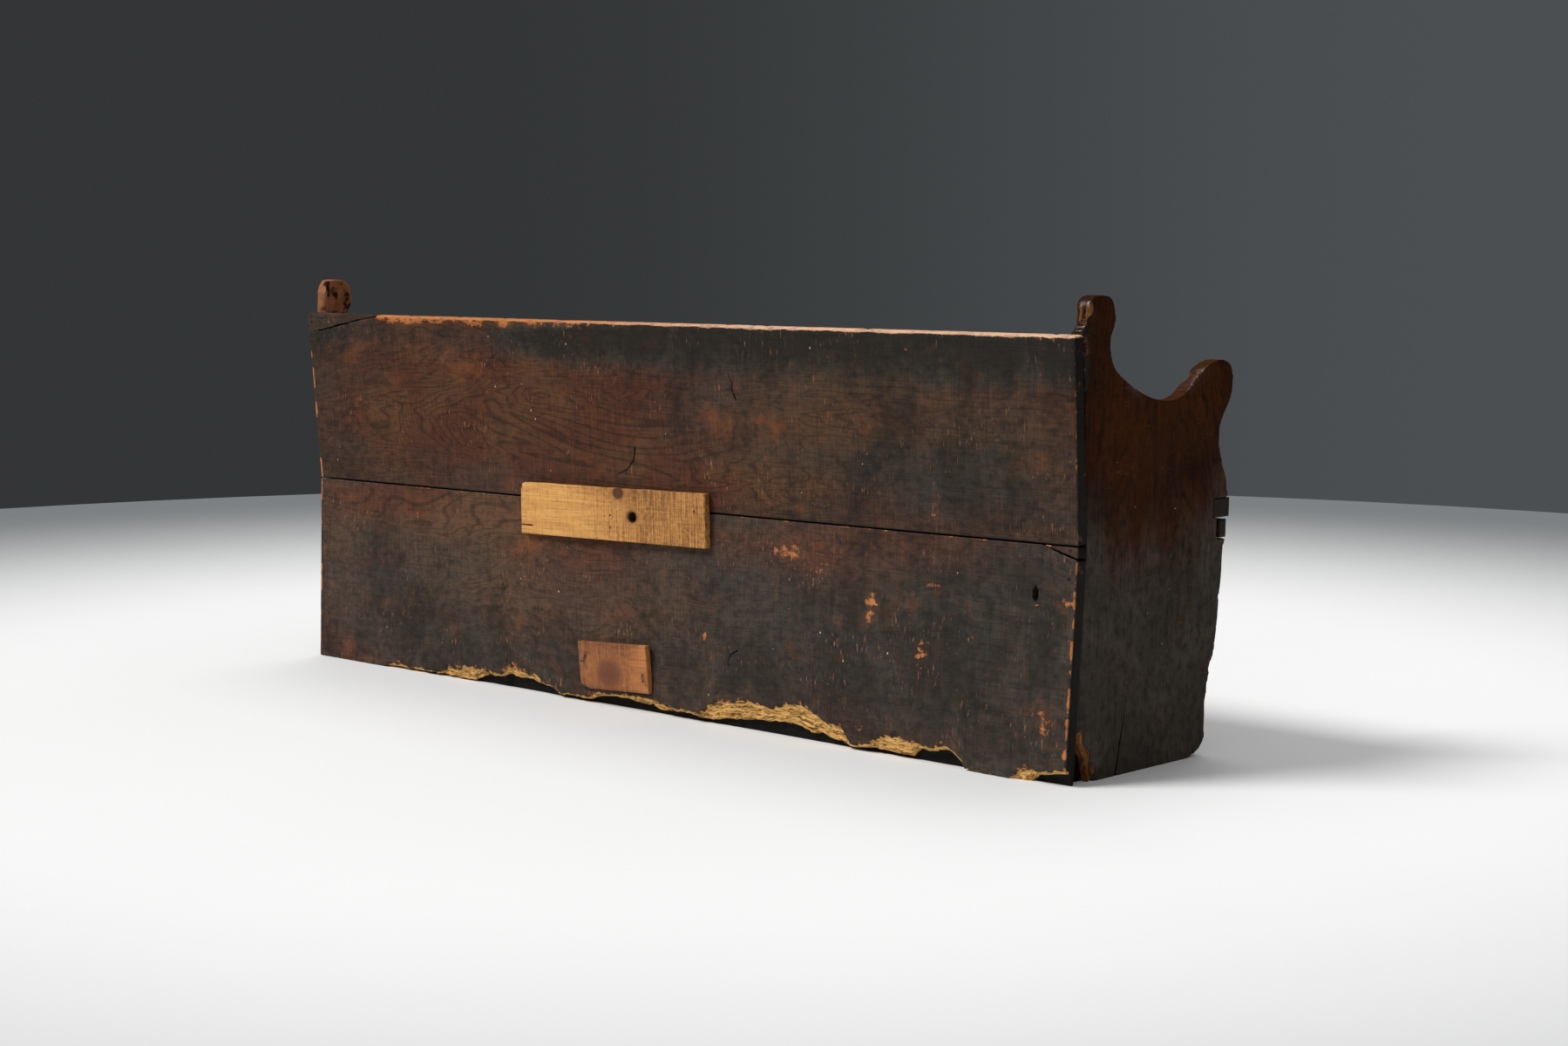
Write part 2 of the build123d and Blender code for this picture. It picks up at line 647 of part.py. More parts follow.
# Apron: hangs under the front seat board, with a loose lug in each panel's notch
with BuildPart() as front_apron:
    with BuildSketch(depth_plane(apron_back)):
        Polygon(*span(seat_under - APRON_H, seat_under, panel_inset + JOINT_GAP), align=None)
        Polygon(*span(lug_bottom, lug_top, 0), align=None)
    extrude(amount=APRON_T)
    bottom_edges = front_apron.edges().filter_by(Axis.X).group_by(Axis.Z)[0]
    fillet(bottom_edges, BOARD_EDGE_R)
    with Locations(*front_seat_spots):
        add(seat_nail_hole, mode=Mode.SUBTRACT)


def make_bearer(side):
    """Strip on an end panel's inner face that carries the ends of the seat boards."""
    low_z = seat_under - BEARER_H
    low_x = half_length(low_z) - panel_inset
    high_x = half_length(seat_under) - panel_inset
    thickness = BEARER_T / cos(splay)
    with BuildPart() as bearer:
        with BuildSketch(depth_plane(bearer_back)):
            Polygon(
                (side * low_x, low_z),
                (side * (low_x - thickness), low_z),
                (side * (high_x - thickness), seat_under),
                (side * high_x, seat_under),
                align=None,
            )
        extrude(amount=bearer_front - bearer_back)
        with Locations(*bearer_nail_spots):
            add(frame_nail_hole, mode=Mode.SUBTRACT)
        with Locations(*front_seat_spots, *rear_seat_spots):
            add(seat_nail_hole, mode=Mode.SUBTRACT)
    return bearer


left_seat_bearer = make_bearer(-1)
right_seat_bearer = make_bearer(1)

# Ledger along the back, under the rear seat board, nailed to both back boards
with BuildPart() as rear_seat_ledger:
    with BuildSketch(depth_plane(ledger_back)):
        Polygon(*span(seat_under - LEDGER_H, seat_under, panel_inset + JOINT_GAP), align=None)
    extrude(amount=LEDGER_T)
    with Locations(*ledger_nail_spots):
        add(frame_nail_hole, mode=Mode.SUBTRACT)
    with Locations(*rear_seat_spots):
        add(seat_nail_hole, mode=Mode.SUBTRACT)

# Batten across the two seat boards, at mid length
with BuildPart() as seat_batten:
    with BuildSketch(Plane.XY.offset(seat_under - BATTEN_T)):
        with Locations((0, SEAM_Y - (bearer_back + bearer_front) / 2)):
            Rectangle(BATTEN_W, bearer_front - bearer_back)
    extrude(amount=BATTEN_T)
    with Locations(*front_seat_spots, *rear_seat_spots):
        add(seat_nail_hole, mode=Mode.SUBTRACT)


def make_nails(nail, spots):
    """Group of like nails."""
    with BuildPart() as nails:
        with Locations(*spots):
            add(nail)
    return nails


upper_board_nails = make_nails(board_nail, upper_nail_spots)
lower_board_nails = make_nails(board_nail, lower_nail_spots)
patch_nail = make_nails(board_nail, [patch_nail_spot])
sliver_nail = make_nails(board_nail, [sliver_nail_spot])
cleat_nails = make_nails(cleat_nail, cleat_nail_spots)
seat_nails = make_nails(seat_nail, front_seat_spots + rear_seat_spots)
bearer_nails = make_nails(frame_nail, bearer_nail_spots)
ledger_nails = make_nails(frame_nail, ledger_nail_spots)

with BuildPart() as block_nails:
    for spot, (x, y, bent, turn) in zip(bent_nail_spots, BENT_NAILS):
        with Locations(spot):
            add(make_bent_nail(bent))

pieces = {
    "left_end_panel": left_end_panel,
    "right_end_panel": right_end_panel,
    "upper_back_board": upper_back_board,
    "lower_back_board": lower_back_board,
    "corner_patch": corner_patch,
    "seam_sliver": seam_sliver,
    "seam_cleat": seam_cleat,
    "bottom_block": bottom_block,
    "front_seat_board": front_seat_board,
    "rear_seat_board": rear_seat_board,
    "front_apron": front_apron,
    "left_seat_bearer": left_seat_bearer,
    "right_seat_bearer": right_seat_bearer,
    "rear_seat_ledger": rear_seat_ledger,
    "seat_batten": seat_batten,
    "upper_board_nails": upper_board_nails,
    "lower_board_nails": lower_board_nails,
    "patch_nail": patch_nail,
    "sliver_nail": sliver_nail,
    "cleat_nails": cleat_nails,
    "block_nails": block_nails,
    "seat_nails": seat_nails,
    "bearer_nails": bearer_nails,
    "ledger_nails": ledger_nails,
}

os.makedirs("parts", exist_ok=True)
for name, piece in pieces.items():
    piece.part.label = name
    export_step(piece.part, f"parts/{name}.step")
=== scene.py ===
import math

import bmesh
import bpy
import numpy as np
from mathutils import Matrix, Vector
from mathutils.bvhtree import BVHTree


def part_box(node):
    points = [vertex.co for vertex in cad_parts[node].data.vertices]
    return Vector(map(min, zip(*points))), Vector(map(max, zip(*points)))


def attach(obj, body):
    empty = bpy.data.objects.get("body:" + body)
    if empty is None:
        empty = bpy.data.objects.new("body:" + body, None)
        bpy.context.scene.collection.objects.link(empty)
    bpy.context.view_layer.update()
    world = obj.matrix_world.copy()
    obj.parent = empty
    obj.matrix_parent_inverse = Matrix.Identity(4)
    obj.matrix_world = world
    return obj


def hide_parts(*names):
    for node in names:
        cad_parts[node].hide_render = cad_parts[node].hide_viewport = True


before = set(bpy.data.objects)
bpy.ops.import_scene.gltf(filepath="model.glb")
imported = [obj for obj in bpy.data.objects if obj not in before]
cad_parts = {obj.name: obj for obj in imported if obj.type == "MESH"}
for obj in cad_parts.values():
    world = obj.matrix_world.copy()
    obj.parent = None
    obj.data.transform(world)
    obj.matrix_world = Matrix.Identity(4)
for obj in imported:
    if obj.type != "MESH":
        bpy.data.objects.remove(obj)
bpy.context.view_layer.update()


# End panels: two wide upright boards of dark old softwood, sawn to a knob, a swooping arm and a
# waisted front edge. Hands and sleeves have rounded and polished the knob and the arm, and damp
# has eaten the heel of the left one. The back boards are nailed to their rear edges.
PANEL_T = 28.0
FLOOR_HALF = 997.0
SPLAY = math.radians(1.235)
SEAM_Y = 197.5
PANEL_VOXEL = 3.0
# Points of the dense mesh this close to a flat face are brought onto it
TRUED = 1.4
HANDLED_Z = (540, 640)
HEEL_AT = 8
HEEL_REACH = (42, 72)


def half(z):
    """Distance in mm from the middle of the bench to a panel's outer face, at a height."""
    return FLOOR_HALF + z * math.tan(SPLAY)


def rise(value, low, high):
    """0 below low, 1 above high, and a soft step between."""
    t = np.clip((value - low) / (high - low), 0, 1)
    return t * t * (3 - 2 * t)


def fall(value, low, high):
    """1 below low, 0 above high, and a soft step between."""
    return 1 - rise(value, low, high)


def off_sides(value, size):
    """Distance in mm from the nearer of two opposite sides of a board."""
    return np.minimum(value, size - value)


def spot(x, z, at, reach):
    """Soft round patch: 1 in its middle, fading over a reach in each direction."""
    return np.exp(-(((x - at[0]) / reach[0]) ** 2) - ((z - at[1]) / reach[1]) ** 2)


def mottle(u, v, size, seed):
    """Uneven values from 0 to 1 over a surface, in soft patches of about a size."""
    table = np.random.default_rng(seed).random((97, 97))
    u, v = np.broadcast_arrays(np.asarray(u, float) / size, np.asarray(v, float) / size)
    i, j = np.floor(u).astype(int), np.floor(v).astype(int)
    s, t = rise(u - i, 0, 1), rise(v - j, 0, 1)
    low = table[i % 97, j % 97] * (1 - s) + table[(i + 1) % 97, j % 97] * s
    high = table[i % 97, (j + 1) % 97] * (1 - s) + table[(i + 1) % 97, (j + 1) % 97] * s
    return low * (1 - t) + high * t


def colour(red, green, blue):
    """Shader colour from screen values of 0 to 255."""
    return tuple(((c / 255 + 0.055) / 1.055) ** 2.4 for c in (red, green, blue)) + (1.0,)


def add(tree, kind, inputs=None, **settings):
    """Shader node with its settings, and a socket or a plain value on each input."""
    made = tree.nodes.new("ShaderNode" + kind)
    for key, value in settings.items():
        setattr(made, key, value)
    for key, value in (inputs or {}).items():
        if isinstance(value, bpy.types.NodeSocket):
            tree.links.new(value, made.inputs[key])
        else:
            made.inputs[key].default_value = value
    return made


def mark(tree, name):
    """One of the mesh's own fields, such as how worn it is."""
    return add(tree, "Attribute", attribute_name=name).outputs["Fac"]


def laid(tree, vector, along, across):
    """Coordinates with a number of cells per metre along the grain, and another across it."""
    return add(tree, "Mapping", {"Vector": vector, "Scale": (along, across, across)}).outputs[0]


def cloud(tree, vector, along, across, detail, rough, warp=0.0):
    """Noise that is stretched along the grain and across it."""
    settings = {"Scale": 1.0, "Detail": detail, "Roughness": rough, "Distortion": warp}
    settings["Vector"] = laid(tree, vector, along, across)
    return add(tree, "TexNoise", settings).outputs[0]


def fleck(tree, vector, along, across, share, size):
    """Small scattered flecks: a share of the cells of a stretched pattern, each of a size."""
    place = laid(tree, vector, along, across)
    cells = add(tree, "TexVoronoi", {"Vector": place, "Scale": 1.0, "Randomness": 1.0})
    chance = add(tree, "SeparateColor", {"Color": cells.outputs["Color"]}).outputs[0]
    picked = step(tree, chance, 1 - share, 1 - share + 0.02)
    return weigh(tree, picked, step(tree, cells.outputs["Distance"], size, size * 0.5))


def step(tree, value, low, high, start=0.0, end=1.0):
    """Soft step of a value from low to high."""
    limits = {"Value": value, "From Min": low, "From Max": high, "To Min": start, "To Max": end}
    if low > high:
        limits.update({"From Min": high, "From Max": low, "To Min": end, "To Max": start})
    return add(tree, "MapRange", limits, interpolation_type="SMOOTHSTEP").outputs[0]


def maths(tree, operation, first, second=0.0, third=0.0):
    """One step of arithmetic on up to three values or sockets."""
    return add(tree, "Math", {0: first, 1: second, 2: third}, operation=operation).outputs[0]


def weigh(tree, value, by, onto=0.0):
    """A value times another, on top of a third."""
    return maths(tree, "MULTIPLY_ADD", value, by, onto)


def tint(tree, factor, under, over):
    """One colour laid over another."""
    return add(tree, "Mix", {0: factor, 6: under, 7: over}, data_type="RGBA").outputs[2]


def veil(tree, face, value, low, high, over, share):
    """A colour over a face, up to a share, where a value steps from low to high."""
    return tint(tree, step(tree, value, low, high, 0.0, share), face, over)


def new_coat(name):
    """New material, with its node tree and its shader."""
    coat = bpy.data.materials.new(name)
    coat.use_nodes = True
    return coat, coat.node_tree, coat.node_tree.nodes["Principled BSDF"]


def carve(tree, shader, height, strength, distance):
    """Fine relief on a surface, from a height."""
    bump = add(tree, "Bump", {"Strength": strength, "Distance": distance, "Height": height})
    tree.links.new(bump.outputs[0], shader.inputs["Normal"])


# The warm field is the wood's tone, and below zero it is painted shade.
FIELDS = ("warm", "wear", "bleach", "rot", "polish", "soil")


# The soot colour is the wood's grime, and also the colour of its painted shade.
def aged_wood(name, dark, brown, ochre, soot_and_shade, worn, pale, raw, across, grime, sheen, gloss):
    """Old dark board: browned, sooted, streaked, worn to bare wood on its edges, rotten in places.

    Its mesh carries the grain's coordinates and how warm, worn, bleached, rotten, polished and
    soiled it is. Below zero the warm field is painted shade, near black; the bleach field also
    paints pale highlights on rubbed edges, and the rot's colour carries painted shade and highlight.
    """
    coat, tree, shader = new_coat(name)
    grain = add(tree, "Attribute", attribute_name="grain").outputs["Vector"]
    warm, wear, bleach, rot, polish, soil = (mark(tree, field) for field in FIELDS)

    broad = cloud(tree, grain, 2.6, 5.0, 6.0, 0.62)
    rings = cloud(tree, grain, 1.0, 6.0, 3.0, 0.45, 0.7)
    late = step(tree, maths(tree, "PINGPONG", weigh(tree, rings, 76.0), 1.0), 0.6, 1.0)
    fibre = cloud(tree, grain, 8.0, 380.0, 3.0, 0.6)
    streak = cloud(tree, grain, 330.0, 9.0, 5.0, 0.72, 0.3)
    grit = cloud(tree, grain, 46.0, 60.0, 9.0, 0.74)
    smoke = cloud(tree, grain, 9.0, 6.0, 9.0, 0.68, 0.5)

    hue = cloud(tree, grain, 3.3, 4.2, 4.0, 0.6)
    browned = tint(tree, step(tree, hue, 0.42, 0.62), brown, ochre)
    warmth = step(tree, weigh(tree, broad, 1.1, warm), 0.6, 1.3)
    face = tint(tree, warmth, dark, browned)
    ring_lines = weigh(tree, late, weigh(tree, warmth, 0.52, 0.04))
    face = tint(tree, ring_lines, face, soot_and_shade)
    face = veil(tree, face, fibre, 0.44, 0.7, soot_and_shade, 0.4)
    scuffed = tint(tree, 0.35, brown, worn)
    face = veil(tree, face, streak, 0.5, 0.72, scuffed, across)
    face = veil(tree, face, streak, 0.48, 0.28, soot_and_shade, across)
    face = veil(tree, face, grit, 0.44, 0.64, soot_and_shade, 0.45)
    haze = cloud(tree, grain, 6.0, 9.0, 8.0, 0.72)
    face = veil(tree, face, haze, 0.54, 0.72, scuffed, 0.5)
    dimmed = weigh(tree, warm, -0.55, weigh(tree, grit, 0.4, smoke))
    face = veil(tree, face, dimmed, 0.34, 0.76, soot_and_shade, grime)
    smudge = weigh(tree, soil, step(tree, smoke, 0.3, 0.6, 0.4, 1.0))
    face = tint(tree, smudge, face, soot_and_shade)

    clusters = step(tree, cloud(tree, grain, 6.0, 10.0, 5.0, 0.66), 0.47, 0.68)
    speck = cloud(tree, grain, 270.0, 48.0, 3.0, 0.6, 0.3)
    chips = weigh(tree, step(tree, speck, 0.6, 0.69, 0.0, 0.06 + 1.9 * across), clusters)
    face = tint(tree, chips, face, tint(tree, 0.3, tint(tree, 0.3, worn, pale), dark))
    dust = fleck(tree, grain, 88.0, 60.0, 0.03, 0.15)
    face = tint(tree, dust, face, pale)
    # Worm holes are tinted near black: painted shade inside them.
    holes = fleck(tree, grain, 150.0, 130.0, 0.05, 0.17)
    face = tint(tree, holes, face, soot_and_shade)

    strand = cloud(tree, grain, 26.0, 150.0, 4.0, 0.66)
    rag = weigh(tree, strand, 0.45, weigh(tree, grit, 2.0))
    rag = weigh(tree, streak, 0.45, rag)
    bare = step(tree, maths(tree, "ADD", rag, wear), 1.9, 2.14)
    bare_wood = tint(tree, bleach, worn, pale)
    bare_wood = veil(tree, bare_wood, grit, 0.44, 0.66, brown, 0.5)
    face = tint(tree, bare, face, bare_wood)
    # Where the warm field is below zero the face goes near black: painted shade in cracks, hollows, seam
    # gaps and under the rotten edge; on end grain it is the wood's own dark colour.
    face = veil(tree, face, warm, -0.3, -0.8, tint(tree, 0.7, soot_and_shade, colour(9, 8, 7)), 0.9)

    sponge = cloud(tree, grain, 34.0, 250.0, 7.0, 0.74, 0.8)
    tunnels = fleck(tree, grain, 80.0, 230.0, 0.3, 0.36)
    rotten = step(tree, weigh(tree, grit, 0.7, rot), 0.72, 0.98)
    # The rot's colour follows its relief: golden rotten wood, painted darker as shade in its hollows and
    # worm tunnels and paler as highlight on its raised fibres.
    punk_with_painted_light = tint(tree, step(tree, sponge, 0.36, 0.6), colour(86, 50, 22), raw)
    punk_with_painted_light = veil(tree, punk_with_painted_light, sponge, 0.56, 0.74, pale, 0.5)
    punk_with_painted_light = veil(tree, punk_with_painted_light, strand, 0.42, 0.3, colour(62, 36, 17), 0.6)
    punk_with_painted_light = tint(tree, weigh(tree, tunnels, 0.85), punk_with_painted_light, colour(40, 24, 13))
    face = tint(tree, rotten, face, punk_with_painted_light)
    tree.links.new(face, shader.inputs["Base Color"])

    dull = step(tree, weigh(tree, grit, 0.5, broad), 0.5, 1.0, sheen, sheen + 0.28)
    dull = weigh(tree, rotten, 0.3, weigh(tree, bare, -0.06, dull))
    dull = weigh(tree, polish, -0.2, dull)
    tree.links.new(dull, shader.inputs["Roughness"])
    shader.inputs["Specular IOR Level"].default_value = gloss
    tree.links.new(polish, shader.inputs["Coat Weight"])
    shader.inputs["Coat Roughness"].default_value = 0.26

    height = weigh(tree, fibre, 0.3, weigh(tree, grit, 0.8))
    height = weigh(tree, streak, 0.5 * across, height)
    height = weigh(tree, late, -0.1, height)
    height = weigh(tree, chips, -0.4, height)
    height = weigh(tree, holes, -1.2, height)
    pitted = weigh(tree, rotten, maths(tree, "SUBTRACT", sponge, tunnels))
    height = weigh(tree, pitted, 2.4, height)
    carve(tree, shader, height, strength=0.55, distance=0.0014)
    return coat


def fit_piece(name, node, slot, coat, points, faces, grain, **marks):
    """Mesh piece in place of a CAD node: points in mm, with its grain and its other fields."""
    mesh = bpy.data.meshes.new(name)
    mesh.from_pydata((points * 0.001).tolist(), [], faces.tolist())
    field = mesh.attributes.new("grain", "FLOAT_VECTOR", "POINT")
    field.data.foreach_set("vector", (grain * 0.001).astype(np.float32).ravel())
    for key in FIELDS:
        values = np.broadcast_to(np.asarray(marks.get(key, 0.0), np.float32), len(points))
        mesh.attributes.new(key, "FLOAT", "POINT").data.foreach_set("value", values.copy())
    shape = bmesh.new()
    shape.from_mesh(mesh)
    bmesh.ops.recalc_face_normals(shape, faces=shape.faces)
    shape.to_mesh(mesh)
    shape.free()
    mesh.shade_smooth()
    mesh.materials.append(coat)
    piece = bpy.data.objects.new(name, mesh)
    bpy.context.scene.collection.objects.link(piece)
    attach(piece, "root")
    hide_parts(node)
    return piece


CRACK_ROOM = 9.0
CRACK_CORE = 5.0


def open_crack(piece, flat, line, width, depth, inward):
    """Drying crack: opens a groove along a line on one face, deepest at the line's last point,
    and paints the groove near black as its shade.

    flat gives the two coordinates in mm, on that face, of a vertex, or None away from the face.
    The mesh is cut finer within CRACK_ROOM of the line, and finer again within CRACK_CORE.
    """
    line = np.array(line, float)
    lengths = np.linalg.norm(np.diff(line, axis=0), axis=1)
    run = np.concatenate([[0], np.cumsum(lengths)])
    low, high = line.min(0) - CRACK_ROOM, line.max(0) + CRACK_ROOM

    def beside(place):
        best = (1e9, 0.0)
        for k in range(len(line) - 1):
            way = line[k + 1] - line[k]
            t = np.clip(np.dot(place - line[k], way) / np.dot(way, way), 0, 1)
            best = min(best, (np.linalg.norm(place - line[k] - t * way), run[k] + t * lengths[k]))
        return best

    def close(place):
        return place is not None and all(a < p < b for a, p, b in zip(low, place, high))

    shape = bmesh.new()
    shape.from_mesh(piece.data)
    for reach, cuts in ((CRACK_ROOM, 1), (CRACK_CORE, 2)):
        near = []
        for edge in shape.edges:
            place = [flat(vert.co) for vert in edge.verts]
            if all(map(close, place)) and beside(np.mean(place, 0))[0] < reach:
                near.append(edge)
        bmesh.ops.subdivide_edges(shape, edges=near, cuts=cuts, use_grid_fill=True)
    warm = shape.verts.layers.float["warm"]
    for vert in shape.verts:
        place = flat(vert.co)
        if not close(place):
            continue
        off, along = beside(np.array(place))
        share = 0.25 + 0.75 * along / run[-1]
        gape = width * share
        if off < gape:
            vert.co += inward * (depth * share * (1 - off / gape) ** 0.7 * 0.001)
            # Painted shade: the groove's points are turned near black.
            vert[warm] = -1.0
    shape.to_mesh(piece.data)
    shape.free()


panel_coat = aged_wood(
    "panel_wood",
    dark=colour(87, 79, 70),
    brown=colour(60, 26, 2),
    ochre=colour(70, 35, 4),
    soot_and_shade=colour(16, 11, 8),
    worn=colour(150, 82, 36),
    pale=colour(206, 172, 146),
    raw=colour(130, 86, 44),
    across=0.1,
    grime=0.5,
    sheen=0.5,
    gloss=0.04,
)


def panel_blank(name, node, inside):
    """Dense points in mm and faces of a panel's solid, and its edge band to measure from.

    inside gives the depth of points under the panel's outer face.
    """
    blank = bmesh.new()
    blank.from_mesh(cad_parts[node].data)
    bmesh.ops.remove_doubles(blank, verts=blank.verts, dist=1e-5)
    corners = [np.array(v.co) * 1000 for v in blank.verts]
    depths = inside(np.array(corners))
    rim = [
        [v.index for v in face.verts]
        for face in blank.faces
        if np.ptp([depths[v.index] for v in face.verts]) > 0.9 * PANEL_T
    ]
    edge_band = BVHTree.FromPolygons([Vector(c) for c in corners], rim)
    coarse = bpy.data.meshes.new(name + "_blank")
    blank.to_mesh(coarse)
    blank.free()
    holder = bpy.data.objects.new(name + "_blank", coarse)
    bpy.context.scene.collection.objects.link(holder)
    fine = holder.modifiers.new("fine", "REMESH")
    fine.mode = "VOXEL"
    fine.voxel_size = PANEL_VOXEL * 0.001
    made = holder.evaluated_get(bpy.context.evaluated_depsgraph_get())
    dense = bpy.data.meshes.new_from_object(made)
    bpy.data.objects.remove(holder)
    points = np.zeros(len(dense.vertices) * 3)
    dense.vertices.foreach_get("co", points)
    points = points.reshape(-1, 3) * 1000
    faces = np.array([tuple(face.vertices) for face in dense.polygons])
    return points, faces, edge_band


def make_end_panel(name, node, side):
    """Fine mesh of one end panel: the solid sets its outline, and its arrises are worn round."""
    outward = np.array((side * math.cos(SPLAY), 0, -math.sin(SPLAY)))
    foot = np.array((side * FLOOR_HALF, 0, 0))

    def inside(places):
        return (foot - places) @ outward

    points, faces, edge_band = panel_blank(name, node, inside)

    # the two flat faces are trued up, then the arrises go round
    w = inside(points)
    trued = np.where(w < TRUED, 0, np.where(w > PANEL_T - TRUED, PANEL_T, w))
    points -= (trued - w)[:, None] * outward
    w = trued
    found = [edge_band.find_nearest(Vector(p)) for p in points]
    rim_off = np.array([f[3] for f in found])
    rim_out = np.array([f[1] for f in found])
    toward = points - np.array([f[0] for f in found])
    clear = rim_off > 0.4
    rim_in = np.where(clear[:, None], toward / np.maximum(rim_off, 1e-6)[:, None], -rim_out)
    d, z = SEAM_Y - points[:, 1], points[:, 2]
    face_off = off_sides(w, PANEL_T)
    handled = rise(z, *HANDLED_Z)
    worn_r = 2.5 + 3.0 * rise(d, 200, 380) + 6.0 * handled
    worn_r *= 0.65 + 0.7 * mottle(d + z, d - z, 34, 3)
    worn_r = np.where((d > 366) & (np.abs(z - 410) < 46), 1.0, worn_r)
    worn_r = np.minimum(worn_r, PANEL_T * 0.45)
    reach = np.hypot(worn_r - rim_off, worn_r - face_off)
    corner = (rim_off < worn_r) & (face_off < worn_r) & (reach > worn_r)
    pull = np.where(corner, 1 - worn_r / np.maximum(reach, 1e-6), 0)
    points += rim_in * ((worn_r - rim_off) * pull)[:, None]
    flat_in = np.where(w < PANEL_T / 2, -1.0, 1.0)[:, None] * outward
    points += flat_in * ((worn_r - face_off) * pull)[:, None]

    # hand-planed hollows, and nicks along the edges
    hollow = 0.9 * mottle(d * 1.6, z * 0.5, 46, 5) * (face_off < 0.5) * rise(rim_off, 6, 30)
    points += flat_in * hollow[:, None]
    nick = 1.6 * rise(mottle(d + 2 * z, 2 * d - z, 13, 8), 0.86, 1.0) * (rim_off < 4) * rise(z, 20, 60)
    points += rim_in * nick[:, None]

    # Warmer and browner higher up, greyer and darker towards the bottom.
    tone_height = z + 60 * (mottle(d, z * 0.14, 27, 6) - 0.5) + 50 * spot(d, z, (170, 440), (90, 150))
    warm = 0.02 + 0.84 * rise(tone_height, 220, 640) + 0.1 * rise(z, 560, 720)
    soil = 0.7 * spot(d, z, (300, 515), (90, 60)) + 0.6 * spot(d, z, (60, 455), (60, 45))
    soil += 0.3 * spot(d, z, (215, 430), (40, 30)) + 0.5 * fall(d, 6, 34) * rise(z, 380, 480)
    rubbed = handled * fall(rim_off, 3, 20)
    wear = 0.34 * rubbed + 0.16 * handled * rise(mottle(d, z, 38, 15), 0.5, 1)
    wear += 0.2 * fall(rim_off, 0, 6) * rise(d, 120, 300)
    rot = np.zeros(len(points))
    polish = handled * fall(rim_off, 4, 22) * (0.35 + 0.65 * rise(mottle(d, z, 21, 16), 0.3, 0.6))
    arm = handled * rise(d, 150, 230)
    # The arm's rubbed edge is worn bare and bleached pale: partly real wear, partly a painted highlight.
    arm_rub_and_highlight = arm * fall(rim_off, 2, 9) * rise(mottle(d, z, 15, 17), 0.1, 0.6)
    wear = wear * (1 - 0.8 * arm) + 0.36 * arm_rub_and_highlight
    bleach = 0.15 + 0.45 * arm
    polish = np.maximum(polish, 0.9 * arm * fall(rim_off, 3, 10))
    soil += 0.4 * spot(d, z, (32, 690), (50, 80))
    if side < 0:
        # the rotten heel: the face is eaten back around the bite, and the knob's nape is wormed
        heel = np.hypot((d - HEEL_AT) / HEEL_REACH[0], z / HEEL_REACH[1])
        torn = heel + 0.3 * (mottle(d, z, 11, 11) - 0.5)
        eaten = np.minimum(fall(torn, 1.14, 1.42) + spot(d, z, (8, 112), (13, 34)), 1)
        eaten = eaten * (d < 80) * (z < 160)
        lost = 7.0 * eaten * fall(w, 6, 20) * (0.3 + 1.3 * mottle(d, z * 0.25, 5, 12))
        points -= outward * lost[:, None]
        # Painted shade: the hollow of the bite is turned near black and kept free of rot colour.
        cavity_shade = fall(heel, 0.88, 1.02) * rise(w, 3, 9)
        warm = warm - 1.5 * cavity_shade
        rot = eaten * (1 - cavity_shade) * (0.32 + 0.7 * mottle(d, z * 0.25, 4.5, 12))
        soil = np.maximum(soil, 0.7 * eaten)
        nape = spot(d, z, (12, 774), (13, 24)) * mottle(w, z * 0.2, 3.6, 14)
        points += rim_in * (3.5 * rise(nape, 0.3, 0.8))[:, None]
        rot = np.maximum(rot, 0.85 * rise(nape, 0.2, 0.5))
        polish = polish * (1 - 0.8 * spot(d, z, (8, 770), (14, 26)))
        chip = spot(d, z, (405, 273), (14, 4.5))
        points += rim_in * (4.0 * chip * (rim_off < 5))[:, None]
        face_side = fall(w, 1, 5)
        for at, reach, much in (
            ((207, 439), (10, 5), 0.3),
            ((259, 427), (12, 5), 0.26),
            ((312, 601), (7, 6), 0.34),
            ((96, 526), (5, 22), 0.3),
            ((117, 567), (6, 26), 0.3),
            ((358, 472), (6, 12), 0.24),
        ):
            wear = np.maximum(wear, much * face_side * spot(d, z, at, reach))
    else:
        # the far knob's nape has worn down to a second, lower lobe behind a crease
        lobe = fall(d, 4, 18) * rise(z, 745, 790)
        points[:, 2] -= 10.0 * lobe
        crease_and_shade = np.exp(-(((d - 13) / 4.0) ** 2)) * rise(z, 750, 785) * rise(w, 8, 22)
        points += flat_in * (4.0 * crease_and_shade * (face_off < 6))[:, None]
        knob = rise(z, 700, 745)
        # The crease is also darkened in colour: painted shade in it.
        warm = warm + 0.3 * knob - 0.7 * crease_and_shade
        wear = wear + (0.5 + 0.5 * mottle(d, z * 0.6, 11, 18)) * knob * (1 - crease_and_shade)
    points += outward * np.minimum(inside(points), 0)[:, None]
    points[:, 2] = np.maximum(points[:, 2], 0)
    grain = np.stack([z + 1300 * side, d + 240 * side, w], 1)
    return fit_piece(
        name, node, "aged_wood", panel_coat, points, faces, grain,
        warm=warm, wear=wear, bleach=bleach, rot=rot, polish=polish, soil=soil,
    )


left_panel = make_end_panel("left_panel", "left_end_panel", -1)
make_end_panel("right_panel", "right_end_panel", 1)


def on_left_face(place):
    """Depth and height in mm of a point on the left panel's outer face."""
    if place.x * 1000 > -half(place.z * 1000) + 1.5:
        return None
    return (SEAM_Y - place.y * 1000, place.z * 1000)


HEEL_CRACK = ((146, 135), (142, 96), (135, 69), (128, 34), (120, 1))
into_panel = Vector((math.cos(SPLAY), 0, math.sin(SPLAY)))
open_crack(left_panel, on_left_face, HEEL_CRACK, width=2.6, depth=7.0, inward=into_panel)


